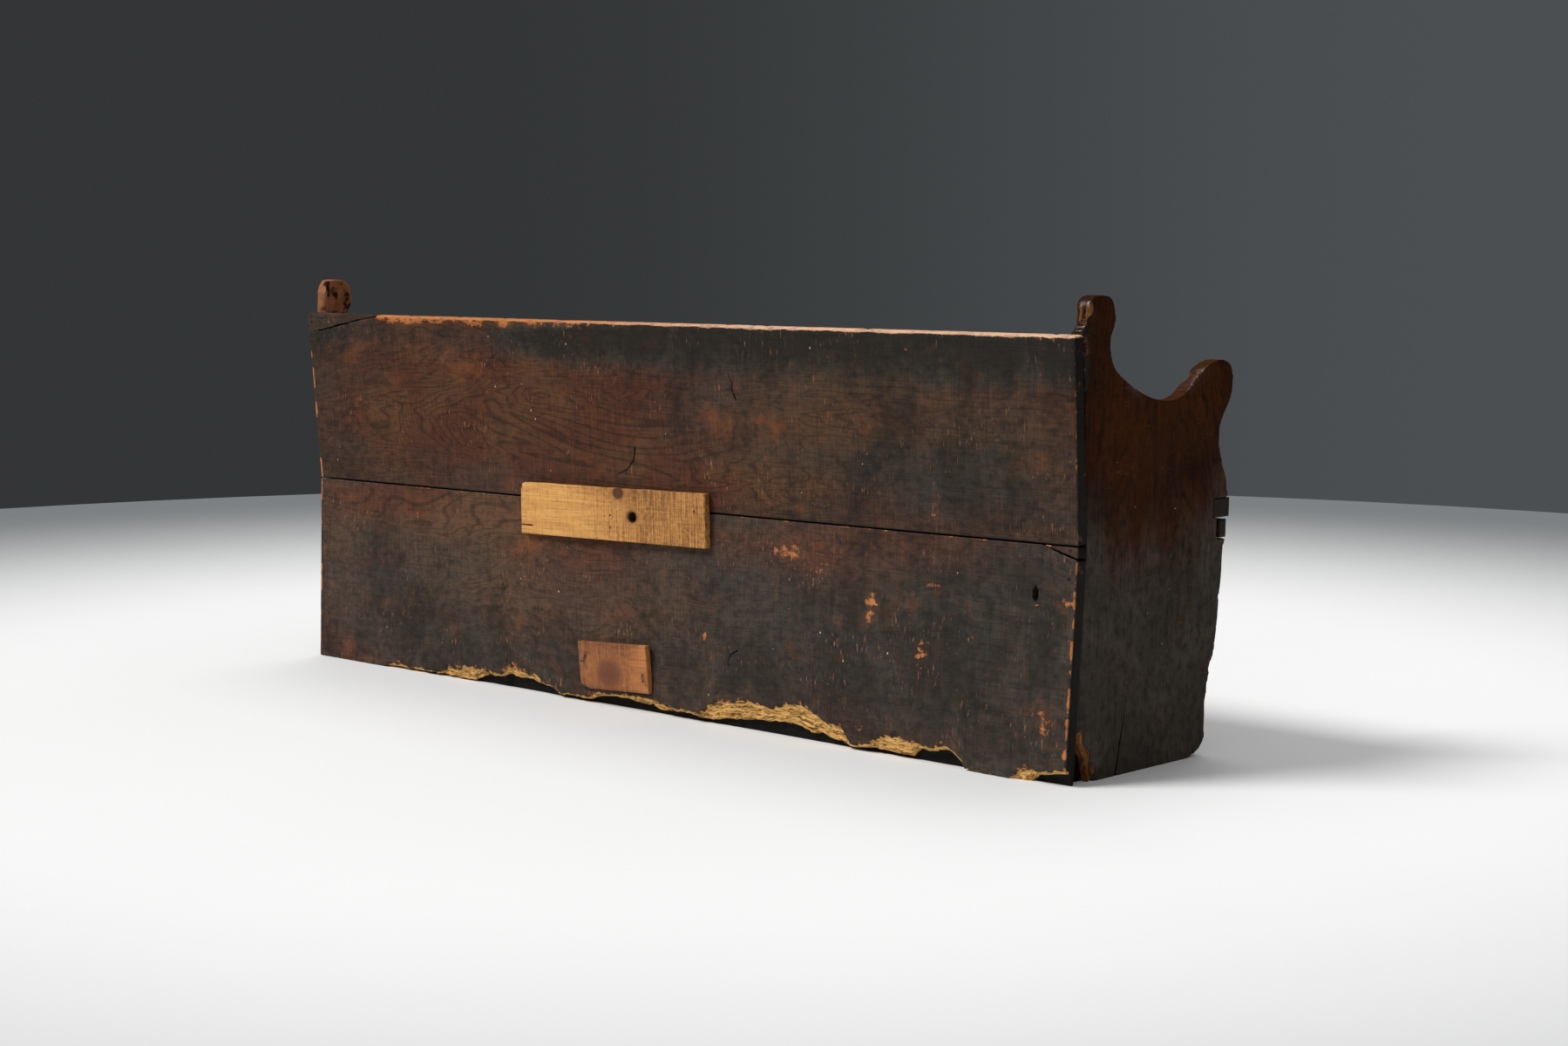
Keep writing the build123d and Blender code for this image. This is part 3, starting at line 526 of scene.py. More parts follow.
# Back: two wide boards, axed and planed, nailed across the panels' rear edges. The upper one leans
# back from the seam and the lower one stands out to the floor. The top edge is rubbed to bare wood,
# with a painted highlight along it.
BACK_T = 26.0
BACK_TOP_Z = 727.5
TOP_CLIMB = 6.5
BEND_Z = 386.25
SEAM_LEFT_Z = 393.7
SEAM_RIGHT_Z = 378.8
SEAM_GAP = 2.5
RECLINE = math.radians(4.0)
LEAN = math.radians(2.67)
PATCH_LENGTH = 233.0
PATCH_DROP = 42.0
PATCH_GAP = 0.8


def lines(stops, gap):
    """Lattice lines through all stops, no further apart than a gap."""
    rows = [stops[0]]
    for low, high in zip(stops, stops[1:]):
        count = max(1, math.ceil((high - low) / gap))
        rows += [low + (high - low) * k / count for k in range(1, count + 1)]
    return np.array(rows, float)


def plank(us, vs, ws, wood=None):
    """Closed skin of quads around a board, on lattice lines along, across and through it.

    wood says which cells of the lattice hold wood, so that a board can have holes and ears.
    """
    nu, nv, nw = len(us) - 1, len(vs) - 1, len(ws) - 1
    solid = np.ones((nu, nv), bool)
    if wood:
        solid &= wood((us[1:, None] + us[:-1, None]) / 2, (vs[None, 1:] + vs[None, :-1]) / 2)

    def corner(i, j, k):
        return (i * (nv + 1) + j) * (nw + 1) + k

    i, j = np.nonzero(solid)
    quads = [
        np.stack([corner(i, j, k), corner(i + 1, j, k), corner(i + 1, j + 1, k), corner(i, j + 1, k)], 1)
        for k in (0, nw)
    ]
    fringe = np.pad(solid, 1).astype(int)
    for di, dj, flip in ((0, 1, 0), (1, 0, 1)):
        border = np.diff(fringe[:, 1:-1], axis=0) if not flip else np.diff(fringe[1:-1, :], axis=1)
        i, j = np.nonzero(border)
        for k in range(nw):
            ends = (corner(i, j, k), corner(i + di, j + dj, k))
            ends += (corner(i + di, j + dj, k + 1), corner(i, j, k + 1))
            quads.append(np.stack(ends, 1))
    used, quads = np.unique(np.concatenate(quads), return_inverse=True)
    lattice = np.stack(np.meshgrid(us, vs, ws, indexing="ij"), -1).reshape(-1, 3)
    return lattice[used], quads.reshape(-1, 4)


def ease(points, size, radius):
    """Rounds the arrises of a board of a size, by a radius for each point."""
    size = np.array(size, float)
    radius = np.minimum(radius, size.min() * 0.48)[:, None]
    core = np.clip(points, radius, size - radius)
    off = points - core
    reach = np.linalg.norm(off, axis=1, keepdims=True)
    return np.where(reach > radius, core + off * radius / np.maximum(reach, 1e-9), points)


def arris(size, fine=(0.8, 2.0, 4.5, 9.0), between=()):
    """Stops along one side of a board, close together near both of its arrises."""
    return [0.0, *fine, *between, *(size - f for f in reversed(fine)), size]


def on_back(x, z, depth, lean):
    """Points in mm that lie deep in a back board, which leans by an angle from the seam."""
    up = (z - BEND_Z) / math.cos(lean)
    y = SEAM_Y + up * math.sin(lean) - depth * math.cos(lean)
    return np.stack([x, y, z + depth * math.sin(lean)], 1)


def plane_in(eased, w, thick, hollow):
    """Lets both faces of a board in by the hollows that a hand plane left."""
    eased[:, 2] += np.where(w < thick / 2, hollow, -hollow) * (off_sides(w, thick) < 0.5)


def wear_through(wear, x, z, outer, seed, patches):
    """Ragged worn patches on an outer face: the place, the reach and the strength of each."""
    torn_x, torn_z = mottle(x, z, 9, seed) - 0.5, mottle(x, z, 9, seed + 1) - 0.5
    for at, reach, much in patches:
        ragged = spot(x + 1.1 * reach[0] * torn_x, z + 1.1 * reach[1] * torn_z, at, reach)
        wear = np.maximum(wear, much * outer * ragged)
    return wear


back_coat = aged_wood(
    "back_board_wood",
    dark=colour(69, 64, 57),
    brown=colour(86, 51, 38),
    ochre=colour(95, 66, 46),
    soot_and_shade=colour(31, 29, 27),
    worn=colour(190, 112, 54),
    pale=colour(222, 182, 150),
    raw=colour(230, 178, 104),
    across=0.4,
    grime=0.7,
    sheen=0.44,
    gloss=0.05,
)

notch_length = PATCH_LENGTH + PATCH_GAP
notch_drop = PATCH_DROP + PATCH_GAP
upper_length = 2 * half(BACK_TOP_Z)
upper_h = BACK_TOP_Z - BEND_Z
upper_size = (upper_length, upper_h, BACK_T)
us = lines(arris(upper_length, between=[upper_length - notch_length]), 5.0)
points, faces = plank(us, lines(arris(upper_h), 4.6), lines(arris(BACK_T), 4.0))
u, v, w = points.T
outer = fall(w, 1, 8)
top_r = 2.5 + 3.0 * mottle(u, 0, 38, 21) + 2.0 * mottle(u, 0, 11, 22)
edge_r = 0.8 + 1.2 * mottle(u, v, 22, 23)
eased = ease(points, upper_size, np.where(v > upper_h / 2, top_r, edge_r))
eased[:, 1] -= 2.0 * rise(mottle(u, 0, 17, 24), 0.76, 1.0) * rise(v, upper_h - 4, upper_h)
hollow = 0.8 * mottle(u * 0.6, v * 1.5, 60, 26) * rise(off_sides(v, upper_h), 8, 40)
plane_in(eased, w, BACK_T, hollow)
share = eased[:, 0] / upper_length
patch_share = np.clip((share * upper_length - upper_length + notch_length) / notch_length, 0, 1)
climb = np.clip(1 - share / (1 - notch_length / upper_length), 0, 1)
top_z = BACK_TOP_Z + TOP_CLIMB * climb - notch_drop * patch_share
low_z = SEAM_LEFT_Z + (SEAM_RIGHT_Z - SEAM_LEFT_Z) * share + SEAM_GAP / 2
z = low_z + (top_z - low_z) * eased[:, 1] / upper_h
x = (2 * share - 1) * half(z)
world = on_back(x, z, eased[:, 2], RECLINE)
drop = (top_z - z) * fall(patch_share, 0, 0.02) + 300 * rise(patch_share, 0, 0.02)
warm = 0.40 + 0.34 * spot(x, z, (480, 560), (430, 110)) + 0.26 * spot(x, z, (200, 480), (330, 80))
warm += 0.16 * spot(x, z, (-420, 560), (300, 60)) + 0.14 * spot(x, z, (-300, 450), (260, 40))
warm -= 0.50 * rise(z, 630, 700) * fall(x, 60, 620) + 0.3 * spot(x, z, (-640, 500), (260, 80))
warm -= 0.25 * spot(x, z, (960, 690), (160, 40)) + 0.2 * spot(x, z, (250, 690), (150, 40))
warm = warm * outer + (0.5 + 0.2 * mottle(x, z, 210, 31)) * (1 - outer)
# Along the top edge the wood is warmed and worn bare: partly real wear, partly a painted golden highlight.
top_wear_and_highlight = fall(drop, 4, 28) * rise(x, -250, 400) * (0.2 + 1.1 * mottle(x, z, 42, 32))
end_off = half(z) - np.abs(x)
end_grain = fall(end_off, 0.6, 2.2) * rise(w, 2, 5)
# The board's bottom face at the seam is turned near black: painted shade in the gap.
seam_shade = fall(z - low_z, 0.5, 2.4)
warm = warm + 0.6 * top_wear_and_highlight - 1.2 * np.maximum(end_grain, seam_shade)
wear = fall(drop, 1.0, 4.0 + 5.0 * mottle(x, 0, 30, 34))
wear = np.maximum(wear, 0.7 * top_wear_and_highlight)
edge_rub = 0.56 + 0.24 * rise(z, 640, 700) + 0.44 * (x > 0)
edge_off = end_off * np.where(x > 0, 0.5, 1.0)
chipped = fall(edge_off, 0.8, 5) * fall(w, 2, 5) * rise(mottle(z, 0, 16, 33), 0.3, 0.8)
wear = np.maximum(wear, edge_rub * chipped)
UPPER_WORN = (
    ((-705, 421), (11, 20), 0.62),
    ((-560, 425), (10, 10), 0.34),
    ((574, 626), (5, 8), 0.6),
    ((726, 465), (6, 6), 0.5),
    ((-658, 703), (12, 7), 0.44),
    ((-400, 610), (90, 4), 0.3),
    ((-897, 526), (4, 26), 0.36),
    ((-820, 640), (60, 22), 0.24),
)
wear = wear_through(wear, x, z, outer, 35, UPPER_WORN)
# The top edge's bare wood is bleached pale towards the -X end: partly real wear, partly a painted
# highlight along the top arris.
bleach = 0.1 + 0.75 * rise(-x, -350, 350) * fall(drop, 3, 9)
grain = np.stack([u + 400, v + 900, w], 1)
upper_board = fit_piece(
    "upper_board", "upper_back_board", "aged_wood", back_coat, world, faces, grain,
    warm=warm, wear=wear, bleach=bleach,
)


def on_upper_face(place):
    """Distance along and height in mm of a point on the upper board's outer face."""
    lean_back = SEAM_Y + (place.z * 1000 - BEND_Z) * math.tan(RECLINE)
    return (place.x * 1000, place.z * 1000) if place.y * 1000 > lean_back - 1.6 else None


UPPER_CRACKS = (
    ((-232, 648), (-240, 628), (-238, 618), (-247, 600)),
    ((86, 440), (50, 454), (30, 473), (24, 497)),
)
into_upper = Vector((0, -math.cos(RECLINE), math.sin(RECLINE)))
for crack in UPPER_CRACKS:
    open_crack(upper_board, on_upper_face, crack, width=1.9, depth=3.0, inward=into_upper)


# Lower board: reaches the floor, so damp and gnawing have eaten its bottom edge and left a ragged
# bevel of raw yellow wood. A peg hole goes through it, and a sliver has split off at the seam.
SLIVER_LENGTH = 66.0
SLIVER_DROP = 18.0
SLIVER_GAP = (3.0, 0.8)
PEG_HOLE_AT = (-925.0, 306.0)
PEG_HOLE_HALF = (6.5, 13.0)
# Heights between which the rotten edge needs lattice lines close together
ROTTEN_V = (4, 64)
# What damp and gnawing took from the bottom edge: place along X, half width and height of each bite
BITES = (
    (640, 150, 5), (368, 132, 25), (50, 112, 20), (-110, 70, 13),
    (-345, 172, 23), (-570, 70, 8), (-730, 62, 27), (-1005, 75, 20), (-135, 700, 9),
)
# Where raw wood shows above the edge: place along X, half width and height of each torn patch
RAW_PATCHES = (
    (690, 90, 13), (485, 130, 28), (352, 66, 45), (40, 130, 27),
    (-340, 190, 58), (-675, 105, 35), (-1000, 110, 24),
)


def torn_edge(along, patches, fullness):
    """Height of a row of rounded patches; the fuller they are, the flatter their tops."""
    heights = []
    for at, half_width, high in patches:
        heights.append(high * np.sqrt(np.maximum(1 - np.abs((along - at) / half_width) ** fullness, 0)))
    return np.max(heights, axis=0)


lower_coat = aged_wood(
    "lower_board_wood",
    dark=colour(74, 69, 62),
    brown=colour(94, 59, 45),
    ochre=colour(103, 75, 55),
    soot_and_shade=colour(33, 31, 29),
    worn=colour(190, 112, 54),
    pale=colour(222, 182, 150),
    raw=colour(236, 184, 108),
    across=0.42,
    grime=0.68,
    sheen=0.44,
    gloss=0.05,
)

lower_length = 2 * half(BEND_Z)
lower_h = BEND_Z
hole_u = lower_length / 2 + PEG_HOLE_AT[0]
hole_v = PEG_HOLE_AT[1]
along_hole = [hole_u - 7, hole_u + 7]
up_hole = [hole_v - 13, hole_v + 13]
us = lines(arris(lower_length, between=[hole_u - 12, *along_hole, hole_u + 12]), 6.0)
vs = lines([0, 0.8, 2, *ROTTEN_V, hole_v - 18, *up_hole, hole_v + 18, *arris(lower_h)[-5:]], 5.6)
vs = np.unique(np.concatenate([vs, lines(ROTTEN_V, 2.4), lines(up_hole, 1.3)]))
us = np.unique(np.concatenate([us, lines(along_hole, 1.0)]))


def clear_of_peg_hole(along, across):
    """Cells of the lower board's lattice that the oval hole leaves."""
    return ((along - hole_u) / PEG_HOLE_HALF[0]) ** 2 + ((across - hole_v) / PEG_HOLE_HALF[1]) ** 2 > 1


points, faces = plank(us, vs, lines(arris(BACK_T), 4.0), clear_of_peg_hole)
u, v, w = points.T
outer = fall(w, 1, 8)
edge_r = 0.8 + 1.4 * mottle(u, v, 24, 41)
eased = ease(points, (lower_length, lower_h, BACK_T), edge_r)
hollow = 0.9 * mottle(u * 0.6, v * 1.5, 60, 42) * rise(off_sides(v, lower_h), 70, 110)
plane_in(eased, w, BACK_T, hollow)
share = eased[:, 0] / lower_length
x = (2 * share - 1) * half(BEND_Z)
gnawed = torn_edge(x, BITES, 2) * (0.8 + 0.4 * mottle(x, 0, 23, 65))
low_z = gnawed + 3.0 * (mottle(x, w, 9, 43) - 0.4) * (np.abs(x) < 960)
raw_z = torn_edge(x, RAW_PATCHES, 4) * (0.82 + 0.36 * mottle(x, 0, 34, 66))
raw_z = raw_z + 4.0 * (mottle(x, 0, 12, 44) - 0.5)
edge_z = np.maximum(low_z, 0)
low_z = edge_z * (1 - 0.94 * rise(w, 8, 20))
raw_z = np.maximum(raw_z, low_z + np.clip(gnawed, 3, 7))
sliver_share = np.clip(1 - eased[:, 0] / (SLIVER_LENGTH + SLIVER_GAP[0]), 0, 1)
top_z = SEAM_LEFT_Z + (SEAM_RIGHT_Z - SEAM_LEFT_Z) * share - SEAM_GAP / 2
top_z = top_z - (SLIVER_DROP + SLIVER_GAP[1]) * sliver_share
top_z = top_z - (1.2 + 2.2 * mottle(u, 0, 8, 46)) * (sliver_share > 0)
z = low_z + (top_z - low_z) * eased[:, 1] / lower_h
x = (2 * share - 1) * half(z)
raw = fall(z, raw_z - 2.5, raw_z + 1.5)
slope = np.clip((raw_z - z) / np.maximum(raw_z - low_z, 1), 0, 1)
bite = raw * (1.6 + 9.5 * slope ** 0.8) * rise(raw_z - low_z, 1, 14)
bite *= 0.75 + 0.5 * mottle(x * 0.5, z, 5, 45)
depth = eased[:, 2] + bite * fall(w, 6, 24)
world = on_back(x, z, depth, -LEAN)
world[:, 2] = np.maximum(world[:, 2], 0)
warm = 0.34 + 0.36 * spot(x, z, (600, 345), (420, 60)) + 0.24 * spot(x, z, (260, 230), (330, 110))
warm += 0.28 * spot(x, z, (-380, 335), (230, 45)) - 0.30 * spot(x, z, (-720, 170), (380, 150))
warm -= 0.22 * spot(x, z, (520, 80), (500, 80)) + 0.2 * spot(x, z, (-250, 120), (250, 80))
warm = warm * outer + (0.4 + 0.2 * mottle(x, z, 210, 51)) * (1 - outer)
left_off = x + half(z)
end_off = half(z) - np.abs(x)
# Painted shade: the inner wood below the rotten edge is turned near black and kept free of rot colour.
shade_under_edge = rise(w, 6, 10) * fall(w, 21, 25) * fall(z, edge_z - 1, edge_z + 4)
# The board's top face at the seam is turned near black: painted shade in the gap.
seam_shade = fall(top_z - z, 0.5, 1.5) * rise(w, 1.5, 3.5)
end_grain = fall(end_off, 0.6, 2.2) * rise(w, 2, 5)
warm = warm - 1.2 * np.maximum(end_grain, seam_shade) - 1.6 * shade_under_edge
rub = (3.0 + 16.0 * mottle(z, 0, 26, 52) ** 2) * (1 - 0.7 * rise(z, 225, 330))
hatch = 0.55 * mottle(z, 0, 15, 53) + 0.45 * mottle(x * 0.3, z, 5, 56)
thin_line = fall(z, 250, 340) * fall(left_off, 1.5, 6)
thin_line = 0.36 * thin_line * rise(mottle(z, 0, 9, 62), 0.35, 0.8)
wear = fall(left_off, 0.2 * rub, rub + 1) * fall(w, 2, 5) * (0.12 + 0.86 * hatch + thin_line)
chipped = fall(end_off, 1, 8) * fall(w, 2, 5) * rise(mottle(z, 0, 16, 54), 0.3, 0.8)
wear = np.maximum(wear, 0.95 * chipped * (x > 0))
fringe = fall(z, raw_z, raw_z + 16) * rise(raw_z - low_z, 2, 10) * mottle(x, z, 7, 59)
wear = np.maximum(wear, 0.7 * fringe * outer)
wear = np.maximum(wear, 0.34 * fall(top_z - z, 0.5, 5) * (0.5 + mottle(x, 0, 18, 55)))
LOWER_WORN = (
    ((-567, 262), (15, 17), 0.92),
    ((-560, 236), (10, 14), 0.66),
    ((-682, 186), (14, 24), 0.6),
    ((-704, 200), (22, 8), 0.44),
    ((-680, 160), (16, 7), 0.42),
    ((-162, 161), (7, 18), 0.6),
    ((-707, 304), (20, 6), 0.6),
    ((-947, 100), (24, 24), 0.58),
    ((-367, 332), (60, 18), 0.6),
    ((-442, 314), (40, 22), 0.5),
    ((-551, 44), (10, 9), 0.7),
    ((-988, 300), (26, 9), 0.7),
    ((-988, 240), (16, 40), 0.4),
    ((690, 323), (22, 10), 0.48),
    ((-925, 292), (7, 4), 0.7),
    ((-430, 180), (60, 60), 0.28),
    ((-330, 250), (120, 50), 0.28),
)
wear = wear_through(wear, x, z, outer, 57, LOWER_WORN)
frayed = fall(z + 9 * (mottle(x, z * 0.4, 4.5, 61) - 0.5), raw_z - 8, raw_z + 4)
rot = frayed * fall(w, 10, 26) * rise(raw_z - low_z, 1, 8)
rot = rot + 0.35 * fall(z - low_z, 0, 6) * (x < 780)
rot = rot * (1 - shade_under_edge) * np.where(x > 60, 0.42 + 0.45 * mottle(x * 0.6, z, 6, 60), 1.0)
soil = outer * (0.4 * spot(x, z, (-890, 150), (130, 120)) + 0.6 * spot(x, z, (-850, 343), (5, 9)))
grain = np.stack([u + 2900, v + 250, depth], 1)
lower_board = fit_piece(
    "lower_board", "lower_back_board", "aged_wood", lower_coat, world, faces, grain,
    warm=warm, wear=wear, bleach=0.12, rot=rot, soil=soil,
)


def on_lower_face(place):
    """Distance along and height in mm of a point on the lower board's outer face."""
    lean_out = SEAM_Y + (BEND_Z - place.z * 1000) * math.tan(LEAN)
    return (place.x * 1000, place.z * 1000) if place.y * 1000 > lean_out - 1.6 else None


GOUGE = ((-226, 106), (-224, 124), (-231, 136), (-246, 143))
into_lower = Vector((0, -math.cos(LEAN), -math.sin(LEAN)))
open_crack(lower_board, on_lower_face, GOUGE, width=2.0, depth=1.8, inward=into_lower)


# Split pieces of the back: a three-cornered patch at the top right corner and a thin sliver at the
# left end of the seam. Both are of the boards' own wood, each held by one nail.
def make_split(name, node, length, drop, place, fields):
    """Wedge of a back board: tapers to nothing over its length and is as thick as the board."""
    stops = arris(length), arris(drop, (1.0, 3.0)), arris(BACK_T)
    points, faces = plank(*(lines(side, 4.0) for side in stops))
    u, v, w = points.T
    eased = ease(points, (length, drop, BACK_T), 1.0 + 1.8 * mottle(u, v, 15, 61))
    world, x, z = place(eased)
    warm, wear = fields(x, z, w)
    grain = np.stack([u + 5100, v + 700, w], 1)
    fit_piece(name, node, "aged_wood", back_coat, world, faces, grain, warm=warm, wear=wear, bleach=0.3)


def place_patch(eased):
    """Lays the patch's lattice in the upper board's plane, thin end towards the middle."""
    share = eased[:, 0] / PATCH_LENGTH
    torn = (1.2 + 1.8 * mottle(eased[:, 0], 0, 17, 64)) * rise(share, 0.05, 0.3)
    z = BACK_TOP_Z - np.maximum(PATCH_DROP * share - torn, 1.0) * (1 - eased[:, 1] / PATCH_DROP)
    x = half(BACK_TOP_Z) - PATCH_LENGTH + share * (PATCH_LENGTH - half(BACK_TOP_Z) + half(z))
    return on_back(x, z, eased[:, 2], RECLINE), x, z


def place_sliver(eased):
    """Lays the sliver's lattice in the lower board's plane, thin end towards the middle."""
    along = eased[:, 0] / SLIVER_LENGTH
    top_z = SEAM_LEFT_Z - SEAM_GAP / 2 - 0.5 * along
    z = top_z - np.maximum(SLIVER_DROP * (1 - along), 0.8) * (1 - eased[:, 1] / SLIVER_DROP)
    x = eased[:, 0] - half(z)
    return on_back(x, z, eased[:, 2], -LEAN), x, z


make_split(
    "split_corner", "corner_patch", PATCH_LENGTH, PATCH_DROP, place_patch,
    lambda x, z, w: (
        0.3 + 0.1 * mottle(x, z, 30, 62) - 1.2 * fall(half(z) - x, 0.6, 2.2) * rise(w, 2, 5),
        0.34 * fall(half(z) - x, 1, 8),
    ),
)
make_split(
    "split_sliver", "seam_sliver", SLIVER_LENGTH, SLIVER_DROP, place_sliver,
    lambda x, z, w: (
        0.3 + 0.1 * mottle(x, z, 20, 63) - 1.2 * fall(x + half(z), 0.6, 2.2) * rise(w, 2, 5),
        rise(x + half(z), 46, 60),
    ),
)


# Seat frame: rough sawn strips under the seat. Two bearers are nailed to the panels, a ledger runs
# along the back boards, and one batten ties the seat boards together at mid length.
BEARER_T = 30.0

strip_coat = aged_wood(
    "sawn_strip_wood",
    dark=colour(66, 52, 42),
    brown=colour(112, 80, 54),
    ochre=colour(128, 98, 64),
    soot_and_shade=colour(38, 33, 29),
    worn=colour(158, 116, 76),
    pale=colour(206, 180, 150),
    raw=colour(206, 162, 100),
    across=0.5,
    grime=0.6,
    sheen=0.58,
    gloss=0.05,
)


def make_strip(name, node, run, seed):
    """Sawn strip in the box of its node, with its grain along X or Y.

    What meets a panel follows its splay: both ends of the ledger, and the whole of a bearer.
    """
    low, high = (np.array(corner) * 1000 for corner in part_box(node))
    size = high - low
    order = [run, 1 - run, 2]
    stops = [lines(arris(size[axis], (0.8, 2.0, 5.0)), 8.0 if axis == run else 4.0) for axis in order]
    points, faces = plank(*stops)
    along, across, through = points.T
    eased = ease(points, size[order], 0.8 + 2.2 * mottle(along, across + through, 26, seed))
    world = np.empty_like(eased)
    world[:, order] = eased
    world += low
    z = world[:, 2]
    if run == 0:
        world[:, 0] *= half(z) / half(high[2])
    elif low[0] * high[0] > 0:
        side, panel_x = (-1, low[0]) if low[0] < 0 else (1, high[0])
        thick = BEARER_T / math.cos(SPLAY)
        world[:, 0] = panel_x + (world[:, 0] - panel_x) * thick / size[0]
        world[:, 0] -= side * (half(high[2]) - half(z))
    warm = 0.35 + 0.3 * mottle(along, across, 120, seed + 1)
    rim = np.minimum(off_sides(across, size[order[1]]), off_sides(through, size[2]))
    wear = 0.3 * fall(rim, 0.5, 3) * (0.4 + mottle(along, across + through, 20, seed + 2))
    grain = np.stack([along + 733 * seed, across + 91 * seed, through], 1)
    fit_piece(name, node, "bearer_wood", strip_coat, world, faces, grain, warm=warm, wear=wear, bleach=0.4)


make_strip("left_bearer", "left_seat_bearer", 1, 71)
make_strip("right_bearer", "right_seat_bearer", 1, 74)
make_strip("ledger_strip", "rear_seat_ledger", 0, 77)
make_strip("batten_strip", "seat_batten", 1, 80)


# Seat and apron: thick planks polished by sitting. The front plank passes through the panels as
# ears, the rear one fills the seat to the back, and the apron hangs under the nose with loose lugs.
SEAT_TOP_Z = 444.0
SEAT_T = 33.0
SEAT_NOSE = 428.0
SEAT_SPLIT = 222.0
EAR_DEPTH = 48.0
APRON_T = 20.0
APRON_H = 118.0
LUG_TOP = 407.0
LUG_H = 31.0
PANEL_INSET = PANEL_T / math.cos(SPLAY) + 0.5

seat_coat = aged_wood(
    "seat_plank_wood",
    dark=colour(50, 38, 30),
    brown=colour(106, 66, 40),
    ochre=colour(116, 80, 46),
    soot_and_shade=colour(28, 23, 20),
    worn=colour(158, 104, 60),
    pale=colour(200, 166, 130),
    raw=colour(190, 140, 84),
    across=0.14,
    grime=0.6,
    sheen=0.32,
    gloss=0.08,
)


def seat_fields(x, d, rim, seed):
    """How warm and how worn the seat is: rubbed in the sitting places and along the nose."""
    sat = np.maximum(spot(x, d, (-430, 270), (330, 150)), spot(x, d, (430, 270), (330, 150)))
    warm = 0.3 + 0.35 * sat + 0.2 * mottle(x * 0.4, d, 90, seed)
    wear = 0.26 * sat * mottle(x * 0.5, d * 1.6, 40, seed + 1)
    return warm, np.maximum(wear, 0.45 * fall(rim, 0.5, 7) * (0.4 + mottle(x, d, 24, seed + 2)))


def make_seat_board(name, node, front, seed):
    """Seat plank in the box of its node; the front one has ears that fill the panels' notches."""
    low, high = (np.array(corner) * 1000 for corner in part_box(node))
    size = high - low
    inner = half(SEAT_TOP_Z) - PANEL_INSET
    ends = [0.0, 1.5, 5.0, 12.0]
    if front:
        ends += [high[0] - inner]
    us = lines([*ends, *(size[0] - e for e in reversed(ends))], 7.0)
    vs = lines(arris(size[1], between=[EAR_DEPTH]), 5.0)

    def with_ears(along, across):
        return (np.abs(along - size[0] / 2) < inner) | (across < EAR_DEPTH)

    points, faces = plank(us, vs, lines(arris(SEAT_T), 4.0), with_ears if front else None)
    u, v, w = points.T
    ear = fall(off_sides(u, size[0]), 26, 30)
    nose = fall(v, 5, 30) * (1 - ear)
    radius = 1.5 + 1.8 * mottle(u, v, 24, seed) + (4.5 + 3.0 * mottle(u, 0, 60, seed + 1)) * nose * front
    eased = ease(points, size, radius)
    dished = 1.6 * np.maximum(spot(u, v, (580, 100), (300, 90)), spot(u, v, (1430, 100), (300, 90)))
    dished = (dished + 0.6 * mottle(u * 0.5, v, 55, seed + 2)) * (w > SEAT_T - 0.5)
    dished *= rise(off_sides(v, size[1]), 6, 30) * rise(off_sides(u, size[0]), 40, 80)
    eased[:, 2] -= dished
    world = eased + low
    world[:, 0] *= half(world[:, 2]) / half(SEAT_TOP_Z)
    rim = np.minimum(off_sides(v, size[1]), off_sides(u, size[0]))
    warm, wear = seat_fields(world[:, 0], SEAT_NOSE - v if front else SEAT_SPLIT - v, rim, seed + 3)
    under = fall(w, 1, 6)
    warm = warm * (1 - 0.4 * under) - 0.35 * ear * front
    grain = np.stack([u + 611 * seed, v + 317 * seed, w], 1)
    wear = wear * (1 - under) * (1 - 0.7 * ear * front)
    fit_piece(name, node, "seat_wood", seat_coat, world, faces, grain, warm=warm, wear=wear, bleach=0.25)


make_seat_board("front_seat_plank", "front_seat_board", True, 83)
make_seat_board("rear_seat_plank", "rear_seat_board", False, 89)

apron_low, apron_high = (np.array(corner) * 1000 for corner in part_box("front_apron"))
apron_length = apron_high[0] - apron_low[0]
apron_inner = half(LUG_TOP) - PANEL_INSET
lug_v = (LUG_TOP - LUG_H - apron_low[2], LUG_TOP - apron_low[2])
ends = [0.0, 1.5, 5.0, 12.0, apron_high[0] - apron_inner]


def with_lugs(along, across):
    """Cells of the apron's lattice: all of its length, and only the lugs beyond the panels."""
    return (np.abs(along - apron_length / 2) < apron_inner) | ((across > lug_v[0]) & (across < lug_v[1]))


points, faces = plank(
    lines([*ends, *(apron_length - e for e in reversed(ends))], 7.0),
    lines([0, 0.8, 2, 4.5, 9, *lug_v, APRON_H - 2, APRON_H], 5.0),
    lines(arris(APRON_T, (0.8, 2.0, 4.5)), 4.0),
    with_lugs,
)
u, v, w = points.T
worn_r = 1.8 + 3.2 * mottle(u, v, 26, 95) * fall(v, 10, 40)
eased = ease(points, (apron_length, APRON_H, APRON_T), worn_r)
hollow = 0.7 * mottle(u * 0.5, v, 55, 96) * rise(off_sides(v, APRON_H), 8, 30)
plane_in(eased, w, APRON_T, hollow)
z = apron_low[2] + eased[:, 1]
x = (eased[:, 0] - apron_length / 2) * half(z) / half(LUG_TOP)
world = np.stack([x, apron_low[1] + eased[:, 2], z], 1)
warm = 0.32 + 0.25 * mottle(u * 0.4, v, 80, 97) + 0.15 * spot(u, v, (1000, 60), (700, 40))
wear = 0.4 * fall(np.minimum(v, 60), 1, 9) * (0.4 + mottle(u, v, 22, 98))
lug = fall(off_sides(u, apron_length), 26, 30)
grain = np.stack([u + 3300, v + 1500, w], 1)
fit_piece(
    "apron_plank", "front_apron", "seat_wood", seat_coat, world, faces, grain,
    warm=warm - 0.4 * lug, wear=wear, bleach=0.2,
)


